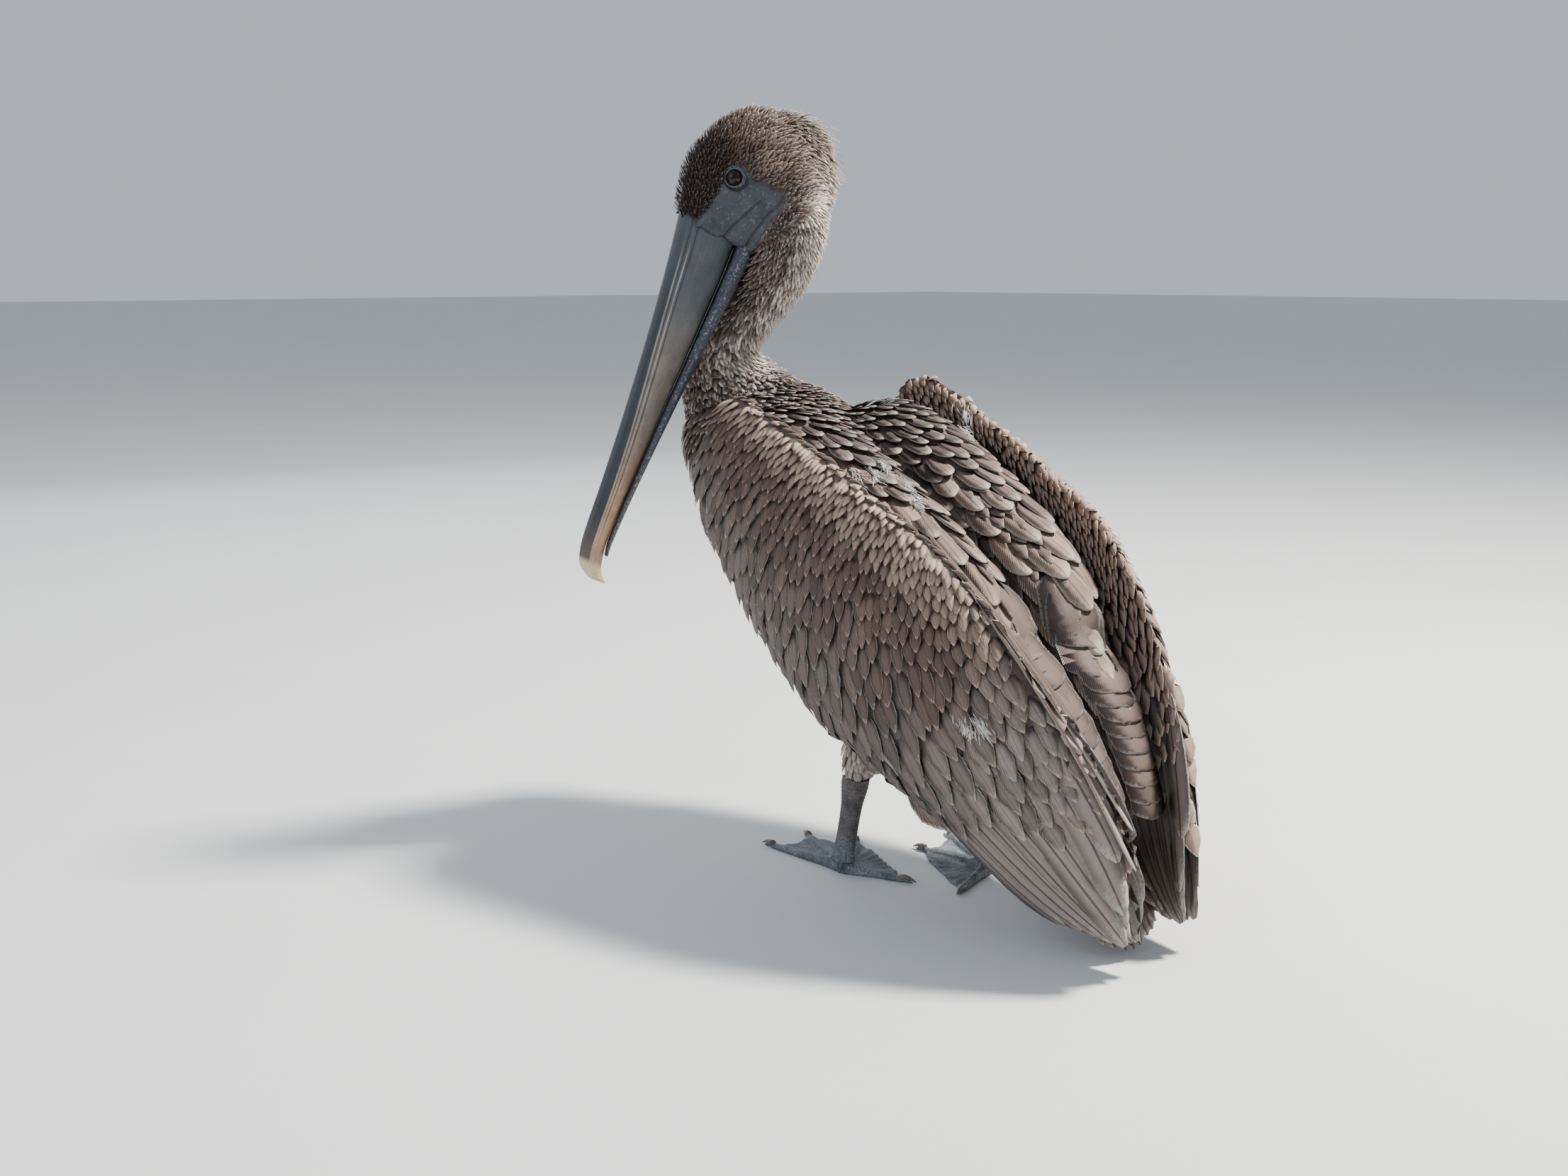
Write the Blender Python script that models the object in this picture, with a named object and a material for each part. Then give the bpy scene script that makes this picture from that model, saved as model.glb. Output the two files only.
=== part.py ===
"""A young brown pelican, life size, standing still with folded wings and its head turned to its left.

Units are metres.  The trunk faces -Y, the bird's left side is +X and +Z is up.  The soles stand on z = 0.
Most pieces are lofts: a short table of stations is smoothed, and each station becomes one ring.
Neighbours are parted by booleans whose cutter is the neighbour itself, grown by GAP.
"""

import math

import bmesh
import bpy
from mathutils import Matrix, Vector

# ---------------------------------------------------------------- driving sizes
GAP = 0.0003                           # air between two neighbouring solids
TRUNK_PITCH = math.radians(40)         # the back slopes down to the tail by this much
HEAD_TURN = math.radians(60)           # the head looks this far to the bird's left
HEAD_PITCH = math.radians(32)          # the skull's axis points this far below the horizon
BILL_PITCH = math.radians(67.7)        # and the bill this far
EYE_RADIUS = 0.0090
SHANK_TOP = 0.094                      # height of the heel joint
SOLE_TOP = 0.0115                      # height where a shank meets its foot
WEB_THICKNESS = 0.0026

UP = Vector((0, 0, 1))
ALONG_TRUNK = Vector((0, math.cos(TRUNK_PITCH), -math.sin(TRUNK_PITCH)))
OFF_TRUNK = Vector((0, math.sin(TRUNK_PITCH), math.cos(TRUNK_PITCH)))

# Trunk stations: place along the trunk, belly, back, half width.
TRUNK = (
    (-0.470, 0.118, 0.168, 0.030),
    (-0.459, 0.100, 0.188, 0.058),
    (-0.430, 0.088, 0.211, 0.083),
    (-0.380, 0.080, 0.233, 0.099),
    (-0.320, 0.070, 0.249, 0.106),
    (-0.260, 0.061, 0.256, 0.109),
    (-0.200, 0.058, 0.257, 0.109),
    (-0.140, 0.065, 0.255, 0.102),
    (-0.080, 0.088, 0.250, 0.090),
    (-0.020, 0.124, 0.244, 0.072),
    (0.030, 0.152, 0.236, 0.054),
    (0.062, 0.168, 0.222, 0.036),
)

# Wing stations: place, ridge (x, height), widest (x, height), lower edge (x, height), thickness.
WING = (
    (-0.384, 0.106, 0.238, 0.114, 0.214, 0.106, 0.178, 0.008),
    (-0.372, 0.110, 0.256, 0.122, 0.212, 0.104, 0.152, 0.016),
    (-0.345, 0.112, 0.270, 0.130, 0.212, 0.100, 0.126, 0.022),
    (-0.290, 0.108, 0.287, 0.136, 0.216, 0.094, 0.110, 0.024),
    (-0.220, 0.104, 0.307, 0.139, 0.224, 0.088, 0.096, 0.026),
    (-0.150, 0.102, 0.324, 0.139, 0.236, 0.082, 0.091, 0.028),
    (-0.105, 0.096, 0.331, 0.135, 0.240, 0.082, 0.096, 0.028),
    (-0.040, 0.084, 0.324, 0.124, 0.242, 0.084, 0.122, 0.026),
    (0.010, 0.073, 0.313, 0.112, 0.238, 0.080, 0.136, 0.024),
)
FLIGHT = (
    (0.010, 0.071, 0.311, 0.110, 0.238, 0.078, 0.138, 0.026),
    (0.050, 0.062, 0.303, 0.099, 0.230, 0.072, 0.141, 0.026),
    (0.095, 0.050, 0.284, 0.083, 0.216, 0.062, 0.143, 0.028),
    (0.135, 0.038, 0.260, 0.067, 0.204, 0.050, 0.151, 0.028),
    (0.168, 0.029, 0.236, 0.053, 0.200, 0.038, 0.166, 0.022),
    (0.190, 0.026, 0.212, 0.043, 0.194, 0.032, 0.180, 0.014),
)
FAR_WRIST_LIFT = 0.014                 # the right wrist is carried a little higher

# Scapular pads: place, centre x, centre height, half width, half height.
SCAPULARS = (
    (-0.372, 0.050, 0.214, 0.034, 0.012),
    (-0.350, 0.052, 0.232, 0.046, 0.024),
    (-0.290, 0.053, 0.250, 0.050, 0.032),
    (-0.220, 0.053, 0.262, 0.049, 0.036),
    (-0.150, 0.051, 0.272, 0.046, 0.036),
    (-0.090, 0.047, 0.275, 0.041, 0.032),
    (-0.045, 0.042, 0.270, 0.034, 0.023),
)
SECONDARIES = (
    (-0.0447, 0.037, 0.262, 0.033, 0.024),
    (0.000, 0.034, 0.257, 0.033, 0.026),
    (0.045, 0.030, 0.249, 0.029, 0.025),
    (0.085, 0.025, 0.240, 0.023, 0.020),
    (0.112, 0.021, 0.232, 0.017, 0.012),
)
# Tail: place, centre height, half width, half thickness.
TAIL = (
    (0.040, 0.194, 0.026, 0.016),
    (0.070, 0.189, 0.040, 0.013),
    (0.110, 0.182, 0.054, 0.009),
    (0.145, 0.177, 0.063, 0.007),
    (0.170, 0.173, 0.060, 0.005),
    (0.186, 0.170, 0.040, 0.004),
)

# Neck: centre (x, y, z), half width, half depth.
NECK = (
    (0.006, -0.204, 0.372, 0.078, 0.072),
    (0.017, -0.222, 0.402, 0.064, 0.058),
    (0.031, -0.233, 0.432, 0.049, 0.045),
    (0.039, -0.235, 0.458, 0.039, 0.039),
    (0.036, -0.229, 0.484, 0.035, 0.036),
    (0.028, -0.209, 0.512, 0.034, 0.037),
    (0.021, -0.186, 0.540, 0.037, 0.041),
    (0.020, -0.168, 0.568, 0.038, 0.043),
    (0.019, -0.160, 0.594, 0.036, 0.043),
    (0.020, -0.156, 0.612, 0.030, 0.038),
)
NECK_PARTING = 5                       # the station where the lower neck ends

# Head, in its own frame: forward, up, half height, half width.
HEAD_ORIGIN = Vector((-0.0133, -0.1410, 0.6320))
HEAD = (
    (-0.011, 0.030, 0.008, 0.008),
    (-0.0065, 0.026, 0.020, 0.018),
    (0.004, 0.020, 0.039, 0.029),
    (0.016, 0.019, 0.051, 0.034),
    (0.032, 0.021, 0.062, 0.038),
    (0.055, 0.025, 0.063, 0.038),
    (0.080, 0.026, 0.059, 0.035),
    (0.104, 0.024, 0.053, 0.031),
    (0.124, 0.016, 0.044, 0.027),
    (0.140, 0.006, 0.034, 0.023),
    (0.150, 0.000, 0.022, 0.016),
)
EYE_PLACE = (0.0822, 0.0385, 0.0258)   # forward, up, out to the side

# Bill, in its own frame: along, height of the upper line, of the lower line, half width.
BILL_ROOT = (0.1166, 0.0054)           # forward and up in the head's frame
UPPER_BILL = (
    (0.000, 0.0385, -0.0185, 0.0195),
    (0.040, 0.0330, -0.0185, 0.0175),
    (0.100, 0.0265, -0.0160, 0.0150),
    (0.180, 0.0200, -0.0125, 0.0130),
    (0.250, 0.0160, -0.0100, 0.0122),
    (0.298, 0.0140, -0.0090, 0.0118),
    (0.318, 0.0115, -0.0110, 0.0095),
    (0.331, 0.0065, -0.0150, 0.0065),
    (0.339, -0.0050, -0.022, 0.0036),
)
LOWER_BILL = (
    (0.000, -0.0188, -0.0370, 0.0180),
    (0.040, -0.0188, -0.0345, 0.0160),
    (0.100, -0.0163, -0.0285, 0.0135),
    (0.180, -0.0128, -0.0215, 0.0115),
    (0.250, -0.0103, -0.0165, 0.0105),
    (0.298, -0.0094, -0.0143, 0.0092),
    (0.314, -0.0113, -0.0150, 0.0065),
)

# Legs: heel, foot, heading of the foot turned from -Y towards the bird's right.
LEGS = {
    "left": {"heel": (0.054, -0.022), "foot": (0.051, -0.042), "toe_in": 18.0, "out": 1},
    "right": {"heel": (-0.054, 0.052), "foot": (-0.050, 0.042), "toe_in": 28.0, "out": -1},
}
SHANK_RINGS = (                        # share of the height, half width, half depth
    (0.00, 0.0100, 0.0135),
    (0.12, 0.0086, 0.0115),
    (0.35, 0.0078, 0.0108),
    (0.68, 0.0080, 0.0115),
    (0.90, 0.0100, 0.0142),
    (1.00, 0.0104, 0.0145),
)
# Toes: name, angle outward from the foot's heading, length, half width at the root.
TOES = (
    ("hallux", -140.0, 0.064, 0.0060),
    ("inner", -34.0, 0.080, 0.0068),
    ("middle", -3.0, 0.102, 0.0074),
    ("outer", 24.0, 0.098, 0.0072),
)
WEB_SAG = (0.34, 0.12, 0.10)           # how deep each web's edge curves in
CLAW = 0.011


# ---------------------------------------------------------------- helpers
def clear_scene():
    for item in list(bpy.data.objects):
        bpy.data.objects.remove(item, do_unlink=True)


def finish(name, colour, roughness):
    material = bpy.data.materials.new(name)
    material.use_nodes = True
    shader = material.node_tree.nodes["Principled BSDF"]
    shader.inputs["Base Color"].default_value = (*colour, 1.0)
    shader.inputs["Roughness"].default_value = roughness
    shader.inputs["Metallic"].default_value = 0.0
    material.diffuse_color = (*colour, 1.0)
    return material


def smoothed(rows, steps):
    """Catmull-Rom rows between the given ones; steps rows for each span."""
    ends = [rows[0], *rows, rows[-1]]
    out = []
    for before, first, second, after in zip(ends, ends[1:], ends[2:], ends[3:]):
        for step in range(steps):
            t = step / steps
            out.append(tuple(
                0.5 * (2 * b + (c - a) * t + (2 * a - 5 * b + 4 * c - d) * t * t
                       + (3 * b - a - 3 * c + d) * t ** 3)
                for a, b, c, d in zip(before, first, second, after)))
    out.append(tuple(rows[-1]))
    return out


def oval(centre, side, up, half_side, half_up, half_down, count):
    """One ring of points round a centre, which may be deeper below than above."""
    points = []
    for index in range(count):
        angle = 2 * math.pi * index / count
        height = math.sin(angle)
        reach = half_up if height > 0 else half_down
        points.append(centre + side * half_side * math.cos(angle) + up * reach * height)
    return points


def new_object(name, mesh_maker, material):
    """An object whose mesh is filled in by a function, with its faces turned outwards.

    Every quad is split along the same diagonal, so that a grown cutter runs true to its original.
    """
    mesh = bpy.data.meshes.new(name)
    work = bmesh.new()
    mesh_maker(work)
    bmesh.ops.recalc_face_normals(work, faces=work.faces)
    bmesh.ops.triangulate(work, faces=work.faces, quad_method="FIXED")
    work.to_mesh(mesh)
    work.free()
    mesh.materials.append(material)
    thing = bpy.data.objects.new(name, mesh)
    bpy.context.scene.collection.objects.link(thing)
    return thing


def loft(name, rings, material):
    """A closed skin over rings that all have the same number of points."""
    def make(work):
        levels = [[work.verts.new(point) for point in ring] for ring in rings]
        for low, high in zip(levels, levels[1:]):
            for index in range(len(low)):
                after = (index + 1) % len(low)
                work.faces.new((low[index], low[after], high[after], high[index]))
        work.faces.new(list(reversed(levels[0])))
        work.faces.new(levels[-1])
    return new_object(name, make, material)


def keep_largest(thing):
    """Drop the crumbs that a boolean leaves, and weld its doubles."""
    work = bmesh.new()
    work.from_mesh(thing.data)
    bmesh.ops.remove_doubles(work, verts=work.verts, dist=0.000001)
    waiting = set(work.verts)
    groups = []
    while waiting:
        group = {waiting.pop()}
        edge_of = list(group)
        while edge_of:
            for edge in edge_of.pop().link_edges:
                for vertex in edge.verts:
                    if vertex in waiting:
                        waiting.discard(vertex)
                        group.add(vertex)
                        edge_of.append(vertex)
        groups.append(group)
    groups.sort(key=len)
    for group in groups[:-1]:
        bmesh.ops.delete(work, geom=list(group), context="VERTS")
    work.to_mesh(thing.data)
    work.free()


def boolean(thing, tool, operation="DIFFERENCE"):
    """Apply one exact boolean, and remove the tool."""
    step = thing.modifiers.new("boolean", "BOOLEAN")
    step.object = tool
    step.operation = operation
    step.solver = "EXACT"
    bpy.context.view_layer.update()
    graph = bpy.context.evaluated_depsgraph_get()
    result = bpy.data.meshes.new_from_object(thing.evaluated_get(graph))
    thing.modifiers.clear()
    thing.data = result
    bpy.data.objects.remove(tool, do_unlink=True)
    keep_largest(thing)


def slice_off(thing, point, normal):
    """Cut away what lies beyond a plane, and close the cut."""
    work = bmesh.new()
    work.from_mesh(thing.data)
    bmesh.ops.bisect_plane(work, geom=[*work.verts, *work.edges, *work.faces], dist=1e-6,
                           plane_co=point, plane_no=normal, clear_outer=True)
    rim = [edge for edge in work.edges if edge.is_boundary]
    bmesh.ops.contextual_create(work, geom=rim)
    bmesh.ops.recalc_face_normals(work, faces=work.faces)
    work.to_mesh(thing.data)
    work.free()


def trunk_point(x, along, height):
    return Vector((x, 0, 0)) + ALONG_TRUNK * along + OFF_TRUNK * height


def head_axes():
    level = Vector((math.sin(HEAD_TURN), -math.cos(HEAD_TURN), 0))
    forward = level * math.cos(HEAD_PITCH) - UP * math.sin(HEAD_PITCH)
    return forward, level * math.sin(HEAD_PITCH) + UP * math.cos(HEAD_PITCH), UP.cross(level)


def bill_axes():
    level = Vector((math.sin(HEAD_TURN), -math.cos(HEAD_TURN), 0))
    along = level * math.cos(BILL_PITCH) - UP * math.sin(BILL_PITCH)
    return along, level * math.sin(BILL_PITCH) + UP * math.cos(BILL_PITCH), UP.cross(level)


def head_point(forward, up, side):
    ahead, above, left = head_axes()
    return HEAD_ORIGIN + ahead * forward + above * up + left * side


# ---------------------------------------------------------------- body
def trunk(material, name="trunk", grow=0.0):
    rings = []
    for along, low, high, half in smoothed(TRUNK, 2):
        middle = (low + high) / 2
        reach = (high - low) / 2 + grow
        rings.append(oval(trunk_point(0, along, middle), Vector((1, 0, 0)), OFF_TRUNK,
                          half + grow, reach, reach, 22))
    return loft(name, rings, material)


def neck(material, name, first, last, grow=0.0):
    """A length of the neck, between two of its smoothed stations."""
    rows = smoothed(NECK, 2)
    rings = []
    for index in range(first, last + 1):
        centre = Vector(rows[index][:3])
        ahead = Vector(rows[min(index + 1, len(rows) - 1)][:3]) - Vector(rows[max(index - 1, 0)][:3])
        ahead.normalize()
        left = Vector((1, 0, 0))
        left = (left - ahead * left.dot(ahead)).normalized()
        back = ahead.cross(left)
        if grow == 0.0 and index == last and last < len(rows) - 1:
            centre = centre - ahead * GAP
        rings.append(oval(centre, left, back, rows[index][3] + grow, rows[index][4] + grow,
                          rows[index][4] + grow, 16))
    return loft(name, rings, material)


def head(material, name="head", grow=0.0):
    ahead, above, left = head_axes()
    rings = []
    for forward, up, high, half in smoothed(HEAD, 2):
        rings.append(oval(head_point(forward, up, 0), left, above, half + grow, high + grow, high + grow, 18))
    thing = loft(name, rings, material)
    bill_ahead = bill_axes()[0]
    slice_off(thing, head_point(*BILL_ROOT, 0) - bill_ahead * (GAP - grow), bill_ahead)
    return thing


def bill_half(material, name, rows, grow=0.0, count=10):
    """One mandible: a loft of ovals along the bill."""
    ahead, above, left = bill_axes()
    root = head_point(*BILL_ROOT, 0)
    rings = []
    for along, high, low, half in smoothed(rows, 2):
        middle = (high + low) / 2
        reach = (high - low) / 2 + grow
        rings.append(oval(root + ahead * along + above * middle, left, above, half + grow,
                          reach, reach, count))
    return loft(name, rings, material)


def eye(material, name, side, grow=0.0):
    def make(work):
        place = Matrix.Translation(head_point(EYE_PLACE[0], EYE_PLACE[1], side * EYE_PLACE[2]))
        bmesh.ops.create_icosphere(work, subdivisions=2, radius=EYE_RADIUS + grow, matrix=place)
    return new_object(name, make, material)


# ---------------------------------------------------------------- wings and tail
def wing_ring(row, side, lift, grow):
    """A crescent: the outer face from the lower edge up to the ridge, then the inner face back."""
    along, ridge_x, ridge, wide_x, wide, edge_x, edge, thick = row
    share = max(0.0, min(1.0, (-0.10 - along) / 0.25))
    ridge += lift * share
    outer, inner = [], []
    steps = 7
    for index in range(steps + 1):
        angle = math.pi * (index / steps - 0.5)
        end_x, end = (ridge_x, ridge) if angle > 0 else (edge_x, edge)
        bulge = math.cos(angle)
        x = end_x + (wide_x - end_x) * bulge
        height = wide + (end - wide) * abs(math.sin(angle))
        outer.append((x + grow, height + math.copysign(grow, angle)))
        if 0 < index < steps:
            inner.append((x - thick * (0.35 + 0.65 * bulge) - grow, wide + (height - wide) * 0.97))
    return [trunk_point(side * x, along, height) for x, height in outer + inner[::-1]]


def wing(material, name, rows, side, grow=0.0, steps=2):
    lift = FAR_WRIST_LIFT if side < 0 else 0.0
    rows = smoothed(rows, steps)
    return loft(name, [wing_ring(row, side, lift, grow) for row in rows], material)


def pad(material, name, rows, side, tilt, grow=0.0):
    """A long low cushion of feathers that lies on the back beside the spine."""
    rings = []
    lean = math.radians(tilt) * side
    across = Vector((1, 0, 0)) * math.cos(lean) + OFF_TRUNK * math.sin(lean)
    above = OFF_TRUNK * math.cos(lean) - Vector((1, 0, 0)) * math.sin(lean)
    for along, x, height, half, high in smoothed(rows, 2):
        rings.append(oval(trunk_point(side * x, along, height), across, above,
                          half + grow, high + grow, high + grow, 12))
    return loft(name, rings, material)


def tail(material, name="tail", grow=0.0):
    rings = []
    for along, height, half, thin in smoothed(TAIL, 2):
        rings.append(oval(trunk_point(0, along, height), Vector((1, 0, 0)), OFF_TRUNK,
                          half + grow, thin + grow, thin + grow, 14))
    return loft(name, rings, material)


# ---------------------------------------------------------------- legs
def thigh(material, name, leg, grow=0.0):
    """The feathered upper leg, which shows only just above the heel."""
    heel = Vector((*leg["heel"], SHANK_TOP + GAP))
    root = heel + Vector((-0.016 * leg["out"], 0.022, 0.075))
    rings = []
    for share, half in ((0.0, 0.0125), (0.15, 0.0165), (0.4, 0.023), (0.7, 0.030), (1.0, 0.033)):
        rings.append(oval(heel.lerp(root, share), Vector((1, 0, 0)), Vector((0, 1, 0)),
                          half + grow, half * 1.15 + grow, half * 1.15 + grow, 14))
    return loft(name, rings, material)


def shank(material, name, leg, grow=0.0, low=SOLE_TOP):
    heel = Vector((*leg["heel"], SHANK_TOP))
    foot = Vector((*leg["foot"], low))
    rings = []
    for share, half, deep in smoothed(SHANK_RINGS, 2):
        centre = foot.lerp(heel, share)
        rings.append(oval(centre, Vector((1, 0, 0)), Vector((0, 1, 0)),
                          half + grow, deep + grow, deep * 1.1 + grow, 10))
    return loft(name, rings, material)


def toe_frame(leg, angle):
    turn = -math.radians(leg["toe_in"]) + leg["out"] * math.radians(angle)
    ahead = Vector((math.sin(turn), -math.cos(turn), 0))
    return ahead, UP.cross(ahead)


def toe(material, name, leg, angle, length, half):
    """A tapering toe with a knuckle and a small bent claw; its underside is sliced flat later."""
    ahead, across = toe_frame(leg, angle)
    start = Vector((*leg["foot"], 0))
    shape = (
        (-0.05, 1.25, 1.30), (0.06, 1.15, 1.20), (0.22, 0.80, 0.82), (0.48, 0.74, 0.72),
        (0.74, 0.66, 0.60), (0.90, 0.52, 0.46),
    )
    rings = []
    for share, wide, high in shape:
        centre = start + ahead * length * share + UP * half * high * 0.7
        rings.append(oval(centre, across, UP, half * wide, half * high, half * high, 7))
    claw_root = start + ahead * length * 0.93
    for share, size in ((0.2, 0.0026), (0.65, 0.0019), (1.0, 0.0006)):
        centre = claw_root + ahead * CLAW * share + UP * (0.0030 - 0.0022 * share)
        rings.append(oval(centre, across, UP, size * 0.8, size, size, 7))
    return loft(name, rings, material)


def web(material, name, leg):
    """The thin skin that joins all four toes, curved in between their tips."""
    start = Vector((*leg["foot"], 0))
    outline = []
    for (_, angle, length, _), (_, next_angle, next_length, _), sag in zip(TOES, TOES[1:], WEB_SAG):
        for step in range(5):
            t = step / 5
            reach = (length + (next_length - length) * t) * 0.90
            reach *= 1 - sag * math.sin(math.pi * t)
            ahead, _ = toe_frame(leg, angle + (next_angle - angle) * t)
            outline.append(start + ahead * reach)
    ahead, _ = toe_frame(leg, TOES[-1][1])
    outline.append(start + ahead * TOES[-1][2] * 0.90)
    ahead, _ = toe_frame(leg, 60)
    outline.append(start + ahead * 0.008)
    ahead, _ = toe_frame(leg, 150)
    outline.append(start + ahead * 0.009)

    def make(work):
        low = work.faces.new([work.verts.new(p - UP * WEB_THICKNESS) for p in outline])
        made = bmesh.ops.extrude_face_region(work, geom=[low])["geom"]
        for vertex in (item for item in made if isinstance(item, bmesh.types.BMVert)):
            vertex.co.z = WEB_THICKNESS
    return new_object(name, make, material)


def foot(material, name, leg):
    thing = web(material, name, leg)
    for toe_name, angle, length, half in TOES:
        boolean(thing, toe(material, toe_name, leg, angle, length, half), "UNION")
    boolean(thing, shank(material, "cutter", leg, GAP, SOLE_TOP - GAP))
    slice_off(thing, Vector((0, 0, 0)), -UP)
    return thing


# ---------------------------------------------------------------- the whole bird
def settle():
    """Bring the middle of the whole bird's box over the origin."""
    corners = [vertex.co for thing in bpy.data.objects for vertex in thing.data.vertices]
    middle = [(min(p[axis] for p in corners) + max(p[axis] for p in corners)) / 2 for axis in (0, 1)]
    for mesh in {thing.data for thing in bpy.data.objects}:
        mesh.transform(Matrix.Translation((-middle[0], -middle[1], 0)))
    print("moved by", [-round(value, 5) for value in middle])


def build():
    clear_scene()
    brown = finish("brown_feather", (0.19, 0.13, 0.10), 0.85)
    grey = finish("grey_feather", (0.20, 0.18, 0.17), 0.80)
    pale = finish("pale_feather", (0.52, 0.46, 0.40), 0.90)
    horn = finish("bill_horn", (0.10, 0.12, 0.15), 0.45)
    skin = finish("leg_skin", (0.12, 0.12, 0.13), 0.55)
    gloss = finish("eye_gloss", (0.02, 0.012, 0.01), 0.08)

    trunk(brown)
    neck_rows = 2 * (len(NECK) - 1)
    lower = neck(pale, "neck_lower", 0, 2 * NECK_PARTING)
    boolean(lower, trunk(brown, "cutter", GAP))
    upper = neck(pale, "neck_upper", 2 * NECK_PARTING, neck_rows)
    boolean(upper, head(brown, "cutter", GAP))
    for length in (lower, upper):
        boolean(length, bill_half(horn, "cutter", LOWER_BILL, GAP))
    skull = head(brown)
    for side, word in ((1, "left"), (-1, "right")):
        eye(gloss, f"eye_{word}", side)
        boolean(skull, eye(gloss, "cutter", side, GAP))
    bill_half(horn, "bill_upper", UPPER_BILL)
    bill_half(horn, "bill_lower", LOWER_BILL)

    tail_thing = tail(grey)
    boolean(tail_thing, trunk(brown, "cutter", GAP))
    for side, word in ((1, "left"), (-1, "right")):
        scapular = pad(brown, f"scapulars_{word}", SCAPULARS, side, 14)
        boolean(scapular, trunk(brown, "cutter", GAP))
        stack = pad(grey, f"secondaries_{word}", SECONDARIES, side, 10)
        boolean(stack, trunk(brown, "cutter", GAP))
        arm = wing(brown, f"wing_{word}", WING, side)
        hand = wing(grey, f"primaries_{word}", FLIGHT, side)
        slice_off(arm, trunk_point(0, FLIGHT[0][0] - GAP, 0), ALONG_TRUNK)
        for thing in (arm, hand):
            boolean(thing, trunk(brown, "cutter", GAP))
        boolean(arm, pad(brown, "cutter", SCAPULARS, side, 14, GAP))
        boolean(arm, pad(grey, "cutter", SECONDARIES, side, 10, GAP))
        boolean(hand, pad(grey, "cutter", SECONDARIES, side, 10, GAP))
        boolean(tail_thing, wing(grey, "cutter", FLIGHT, side, GAP))

    for word, leg in LEGS.items():
        upper_leg = thigh(pale, f"thigh_{word}", leg)
        boolean(upper_leg, trunk(brown, "cutter", GAP))
        shank(skin, f"leg_{word}", leg)
        foot(skin, f"foot_{word}", leg)
    settle()


build()
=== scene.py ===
# %% [markdown]
# # A brown pelican, standing at rest
# This lesson dresses a finished solid model of a young brown pelican. The solids give the size
# and pose. Here the bird gets its skin, bill, eyes, feet and every coat of feathers. All
# lengths are in metres. The size is an estimate, good to about a tenth either way.

# %% Load the solid bird
import math

import bpy
import numpy as np
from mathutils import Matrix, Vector
from mathutils.bvhtree import BVHTree


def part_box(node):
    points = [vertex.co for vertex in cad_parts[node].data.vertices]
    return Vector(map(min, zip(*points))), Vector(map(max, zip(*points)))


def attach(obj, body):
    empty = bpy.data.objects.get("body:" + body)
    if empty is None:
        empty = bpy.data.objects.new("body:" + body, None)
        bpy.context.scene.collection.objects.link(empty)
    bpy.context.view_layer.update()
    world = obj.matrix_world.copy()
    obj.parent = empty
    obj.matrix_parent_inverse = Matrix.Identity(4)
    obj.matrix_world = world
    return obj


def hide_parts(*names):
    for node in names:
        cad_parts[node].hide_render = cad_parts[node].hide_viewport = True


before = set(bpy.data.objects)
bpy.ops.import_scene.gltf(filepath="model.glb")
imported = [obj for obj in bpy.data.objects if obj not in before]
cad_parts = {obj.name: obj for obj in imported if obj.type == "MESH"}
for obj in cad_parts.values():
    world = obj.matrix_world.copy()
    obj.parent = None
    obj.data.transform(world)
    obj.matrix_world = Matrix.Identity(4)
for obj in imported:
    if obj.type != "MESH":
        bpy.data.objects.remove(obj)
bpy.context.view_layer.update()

# %% [markdown]
# ## A frame that belongs to the bird
# A bird's back, wings and tail all slope together, so it is easier to talk about them with a
# frame that is tipped by the same slope: `along` runs from the breast to the tail and `above`
# stands out of the back. The head has its own frame, because the bird looks over its left side.

# %% The body's frame and the head's frame
trunk_low, trunk_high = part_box("trunk")
STAND = np.array([(trunk_low.x + trunk_high.x) / 2, 0.0026, 0.0])
SLOPE = math.radians(40)
ALONG = np.array([0, math.cos(SLOPE), -math.sin(SLOPE)])
ABOVE = np.array([0, math.sin(SLOPE), math.cos(SLOPE)])
UP = np.array([0.0, 0.0, 1.0])
HEAD_TURN = math.radians(60)
LEVEL = np.array([math.sin(HEAD_TURN), -math.cos(HEAD_TURN), 0.0])
LEFT = np.cross(UP, LEVEL)


def tipped(degrees):
    """The forward and upward directions of something that looks level and then nods."""
    nod = math.radians(degrees)
    return (LEVEL * math.cos(nod) - UP * math.sin(nod), LEVEL * math.sin(nod) + UP * math.cos(nod))


HEAD_FORWARD, HEAD_UP = tipped(32.0)
BILL_FORWARD, BILL_UP = tipped(67.7)
HEAD_ORIGIN = np.array([-0.0133, -0.1410, 0.6320]) + STAND


def body_place(points):
    """Each point as distances to the bird's left, along the back and above it."""
    local = points - STAND
    return local[..., 0], local @ ALONG, local @ ABOVE


def head_place(points):
    """Each point as distances ahead of the back of the head, above it and to the left."""
    local = points - HEAD_ORIGIN
    return local @ HEAD_FORWARD, local @ HEAD_UP, local @ LEFT


def body_point(x, along, above):
    return STAND + np.array([x, 0, 0]) + ALONG * along + ABOVE * above


def head_point(ahead, up, side):
    return HEAD_ORIGIN + HEAD_FORWARD * ahead + HEAD_UP * up + LEFT * side


def ease(low, high, value):
    """0 below low, 1 above high, and a soft step between."""
    share = np.clip((np.asarray(value, float) - low) / (high - low), 0, 1)
    return share * share * (3 - 2 * share)


def unit(vectors):
    return vectors / np.maximum(np.linalg.norm(vectors, axis=-1, keepdims=True), 1e-9)


def hue(red, green, blue):
    """A colour as a painter's chart gives it, 0 to 255, made linear for the shader."""
    chart = np.array([red, green, blue]) / 255
    return np.where(chart < 0.04045, chart / 12.92, ((chart + 0.055) / 1.055) ** 2.4)


print("stands at", STAND.round(4), "trunk", [round(v, 3) for v in (*trunk_low, *trunk_high)])

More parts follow.
